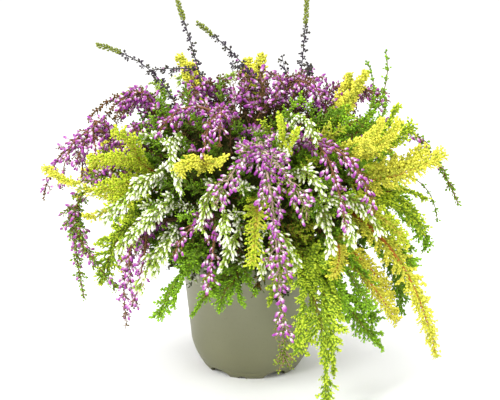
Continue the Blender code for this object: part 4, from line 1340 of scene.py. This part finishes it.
grow_sprays("golden_foliage", 170, (
    ("golden_reach_left", REACH_GOLD, (210, 0), (-130, -64, 166), (-166, -66, 192), 0.6, 0,
     (0.25, (-112, -72, 156), (-134, -84, 158))),
    ("golden_left", LIME_GOLD, (211, 18), (-103, -62, 200), (-128, -76, 202), 0.8, 1,
     (0.3, (-92, -72, 216), (-108, -80, 226))),
    ("golden_front_left", GOLDEN, (238, 30), (-47, -106, 212), (-56, -122, 204), 0.8, 1,
     (0.3, (-30, -112, 206), (-22, -119, 212))),
    ("golden_front", FRONT_GOLD, (284, 42), (28, -100, 220), (21, -112, 243), 1.1, 0,
     (0.3, (34, -106, 222), (33, -114, 232))),
    ("golden_tip_left", TIP_GOLD, (132, 45), (-53, 48, 252), (-64, 44, 268), 1.0, 1),
    ("golden_tip_top", TIP_GOLD, (88, 60), (6, 58, 256), (9, 62, 265), 1.2, 1,
     (0.2, (2, 54, 246), (-6, 58, 250))),
    ("golden_tip_right", TIP_GOLD, (4, 46), (92, 20, 242), (98, 20, 257), 1.5, 1),
    ("golden_right_up", TIP_GOLD, (322, 32), (96, -66, 210), (104, -78, 236), 1.0, 0,
     (0.4, (94, -84, 206), (88, -98, 222)), (0.2, (106, -70, 204), (116, -76, 233))),
    ("golden_reach_right", GOLDEN, (330, 15), (114, -62, 178), (152, -76, 206), 1.3, 1),
    ("golden_fall_right", FALL_GOLD, (322, -2), (127, -98, 140), (150, -96, 44), 1.0, 0),
    ("golden_low_right", LOW_GOLD, (308, -16), (88, -104, 122), (116, -102, 76), 1.0, 1,
     (0.2, (72, -116, 138), (64, -126, 122))),
    ("golden_skirt", LIME_GOLD, (273, 14), (4, -132, 176), (0, -142, 138), 0.8, 0),
))


# Green foliage of the same plant, grown in the shade, which hangs low over the pot. It is
# soft and feathery, on red-brown stems, and has no buds.

bright_leaf = leaf_material("bright_lime_leaves", "508A14", "D0E444", 0.5, 0.18, 0.18)
THIN = dict(GREEN, twig_length=(15.0, 1.5), taper=0.45, gap_growth=1.0, stem_thick=0.6,
            leaf_length=2.6)
BRIGHT = dict(GREEN, leaf=bright_leaf, twig_gap=4.6, twig_length=(17.0, 9.0), offshoot_gap=4.8)

grow_sprays("green_foliage", 190, (
    ("green_fall_right", BRIGHT, (288, -27), (58, -130, 118), (60, -126, 14), 1.5, 4),
    ("green_low_right", GREEN, (302, -34), (78, -94, 82), (104, -96, 52), 1.4, 2),
    ("green_low_left", GREEN, (243, -24), (-58, -114, 122), (-74, -122, 86), 1.0, 1),
    ("green_skirt", GREEN, (262, -30), (-14, -112, 112), (-8, -112, 94), 1.1, 1,
     (0.35, (-34, -108, 108), (-46, -112, 86)), (0.5, (-24, -114, 106), (-26, -118, 92))),
    # This spray wears the darker green leaves of painted shade.
    ("green_hang_right", SHADED_GREEN, (333, -15), (124, -54, 110), (124, -64, 72), 0.6, 1),
    ("green_tip_right", THIN, (350, 34), (122, -6, 236), (112, -2, 279), 1.3, 2),
    ("green_thin_right", THIN, (343, 10), (150, -24, 194), (156, -36, 140), 0.35, 0),
    ("green_left", BRIGHT, (214, -10), (-113, -64, 138), (-124, -74, 132), 1.2, 2,
     (0.5, (-118, -70, 120), (-124, -72, 100))),
))


# Shorter sprays that the plants grow between the long ones, where the bush is dense. They
# are made as the long ones are, but stand in no node's place.

grow_sprays("green_foliage", 240, (
    ("green_short_right_mid", LIME, (333, 2), (122, -58, 168), (140, -68, 142), 1.0, 2,
     (0.2, (124, -46, 176), (144, -52, 164))),
    ("green_short_right_high", LIME, (338, 24), (116, -48, 206), (128, -56, 226), 1.0, 1,
     (0.2, (108, -40, 214), (118, -44, 240))),
    ("green_short_right_low", GREEN, (328, -4), (112, -74, 142), (130, -86, 116), 1.0, 2),
    ("green_short_low", GREEN, (306, -14), (76, -104, 122), (92, -108, 92), 1.0, 1,
     (0.2, (64, -110, 120), (76, -120, 92))),
), extra=True)
grow_sprays("golden_foliage", 244, (
    ("golden_short_right_mid", LIME_GOLD, (322, 4), (108, -84, 160), (122, -90, 140), 0.8, 0),
    ("golden_short_left", LIME_GOLD, (209, 8), (-104, -68, 180), (-124, -80, 178), 1.1, 1,
     (0.2, (-98, -78, 172), (-112, -92, 168))),
), extra=True)
grow_sprays("purple_buds", 246, (
    ("purple_short_left_high", PURPLE, (184, 34), (-104, -20, 232), (-112, -34, 196), 0.9, 1,
     (0.3, (-92, -34, 226), (-94, -46, 196))),
    ("purple_short_left_low", PURPLE, (196, 16), (-124, -36, 206), (-128, -52, 176), 0.9, 1),
    ("purple_short_top_left", PURPLE, (150, 70), (-40, 10, 262), (-62, -16, 240), 0.9, 1),
    ("purple_short_top_right", PURPLE, (50, 74), (34, 14, 268), (58, -22, 244), 0.9, 1,
     (0.3, (22, -10, 264), (20, -40, 246))),
), extra=True)


# The far side, which the photograph doesn't show, is planted by a rule with sprays of all
# the kinds in turn, each with two forks.

BACK_SEED = 11
BACK_KINDS = ("green", "purple", "golden", "white", "purple", "green",
              "purple", "white", "golden", "purple", "white", "golden")
BACK_HABITS = {"green": (GREEN, "green_foliage"), "purple": (PURPLE, "purple_buds"),
               "golden": (GOLDEN, "golden_foliage"), "white": (WHITE, "white_buds")}
BACK_AZIMUTHS = (10.0, 170.0)
BACK_LATITUDES = (-10, 48, 18)
BACK_REACH = 75.0
BACK_REACH_JITTER = 14.0
BACK_DROPS = (52.0, -6.0, 34.0)
BACK_LIFTS = (14.0, 34.0, 30.0)
BACK_FORKS = ((-1, 0.3), (1, 0.45))
BACK_FULLNESS = 0.9
KNEE_SHARE = 0.7
FORK_SPREAD = 26.0
FORK_SHORTER = 15.0
FORK_HIGHER = 20.0

back_draw = random.Random(BACK_SEED)
for i, kind in enumerate(BACK_KINDS):
    low, high = BACK_AZIMUTHS
    azimuth = low + (high - low) * i / (len(BACK_KINDS) - 1)
    latitude = BACK_LATITUDES[i % len(BACK_LATITUDES)]
    reach = BACK_REACH + back_draw.uniform(-BACK_REACH_JITTER, 0.0)
    root = on_crown(azimuth, latitude)
    angle = math.radians(azimuth)
    out = Vector((math.cos(angle), math.sin(angle), 0))
    side = Vector((-out.y, out.x, 0))
    up = Vector((0, 0, 1))
    knee = root + out * reach * KNEE_SHARE + up * BACK_LIFTS[i % len(BACK_LIFTS)]
    tip = root + out * reach - up * BACK_DROPS[i % len(BACK_DROPS)]
    forks = []
    for way, share in BACK_FORKS:
        spread = side * way * FORK_SPREAD
        forks.append((share, knee + spread * KNEE_SHARE - out * FORK_SHORTER,
                      tip + spread - out * FORK_SHORTER + up * FORK_HIGHER))
    habit, slot = BACK_HABITS[kind]
    grow_spray(f"{kind}_back_{i + 1:02d}", habit, slot, (azimuth, latitude), knee, tip,
               BACK_FULLNESS, 0, *forks, seed=210 + i)

# The single leaf and buds were only there to be strewn.

for shape in (LEAF, BUD, SLIM_BUD, PLUMP_BUD):
    bpy.data.objects.remove(shape)


# The pot stands on a plain pale floor under a bright, even sky. Soft lamps stand as in a
# photographer's studio: one up at the left, a weaker one at the right, and one overhead.

FLOOR_SIZE = 6.0
SKY_LOW = 0.48
SKY_HIGH = 1.30
CAMERA_FAR = 1200.0
CAMERA_UP = 15.0
CAMERA_LOOKS_AT = (-1.7, 0.0, 149.0)
CAMERA_LENS = 100.0
CAMERA_SENSOR = 36.0

floor_shape = bmesh.new()
bmesh.ops.create_grid(floor_shape, x_segments=1, y_segments=1, size=FLOOR_SIZE / 2)
floor = object_from(floor_shape, "floor")
paper, paper_tree, paper_shader = new_material("pale_paper")
paper_tone = colour_ramp(paper_tree, noise(paper_tree, 3.0), (0.0, (0.94, 0.94, 0.94, 1.0)),
                         (1.0, (0.96, 0.96, 0.96, 1.0)))
plug(paper_tree, paper_shader.inputs, {"Base Color": paper_tone, "Roughness": 0.9})
floor.data.materials.append(paper)

world = bpy.data.worlds.new("studio")
world.use_nodes = True
air = world.node_tree
seen = node(air, "ShaderNodeLightPath").outputs["Is Camera Ray"]
way = node(air, "ShaderNodeTexCoord").outputs["Generated"]
sky_height = node(air, "ShaderNodeSeparateXYZ", {"Vector": way}).outputs["Z"]
sky = ranged(air, sky_height, end=(SKY_LOW, SKY_HIGH))
glow = node(air, "ShaderNodeMix", {"Factor": seen, 2: sky, 3: 1.0}).outputs[0]
plug(air, air.nodes["Background"].inputs, {"Color": (1.0, 1.0, 1.0, 1.0), "Strength": glow})
bpy.context.scene.world = world
bpy.context.scene.view_settings.view_transform = "Standard"


def add_lamp(name, place, aim, size, power):
    lamp = bpy.data.lights.new(name, "AREA")
    lamp.shape = "DISK"
    lamp.size = size
    lamp.energy = power
    made = add_object(name, lamp)
    made.location = place
    made.rotation_euler = (Vector(aim) - Vector(place)).to_track_quat("-Z", "Y").to_euler()


add_lamp("key", (-1.1, -1.2, 1.3), (0.0, 0.0, 0.17), 0.7, 33.0)
add_lamp("fill", (1.4, -1.0, 0.9), (0.0, 0.0, 0.17), 1.0, 11.0)
add_lamp("top", (0.1, 0.3, 1.7), (0.0, 0.0, 0.17), 0.9, 10.0)

camera_data = bpy.data.cameras.new("camera")
camera_data.lens = CAMERA_LENS
camera_data.sensor_width = CAMERA_SENSOR
camera = add_object("camera", camera_data)
rise = math.radians(CAMERA_UP)
aim = Vector(CAMERA_LOOKS_AT) * MM
back = Vector((0.0, -math.cos(rise), math.sin(rise)))
camera.location = aim + back * CAMERA_FAR * MM
camera.rotation_euler = (-back).to_track_quat("-Z", "Y").to_euler()
bpy.context.scene.camera = camera
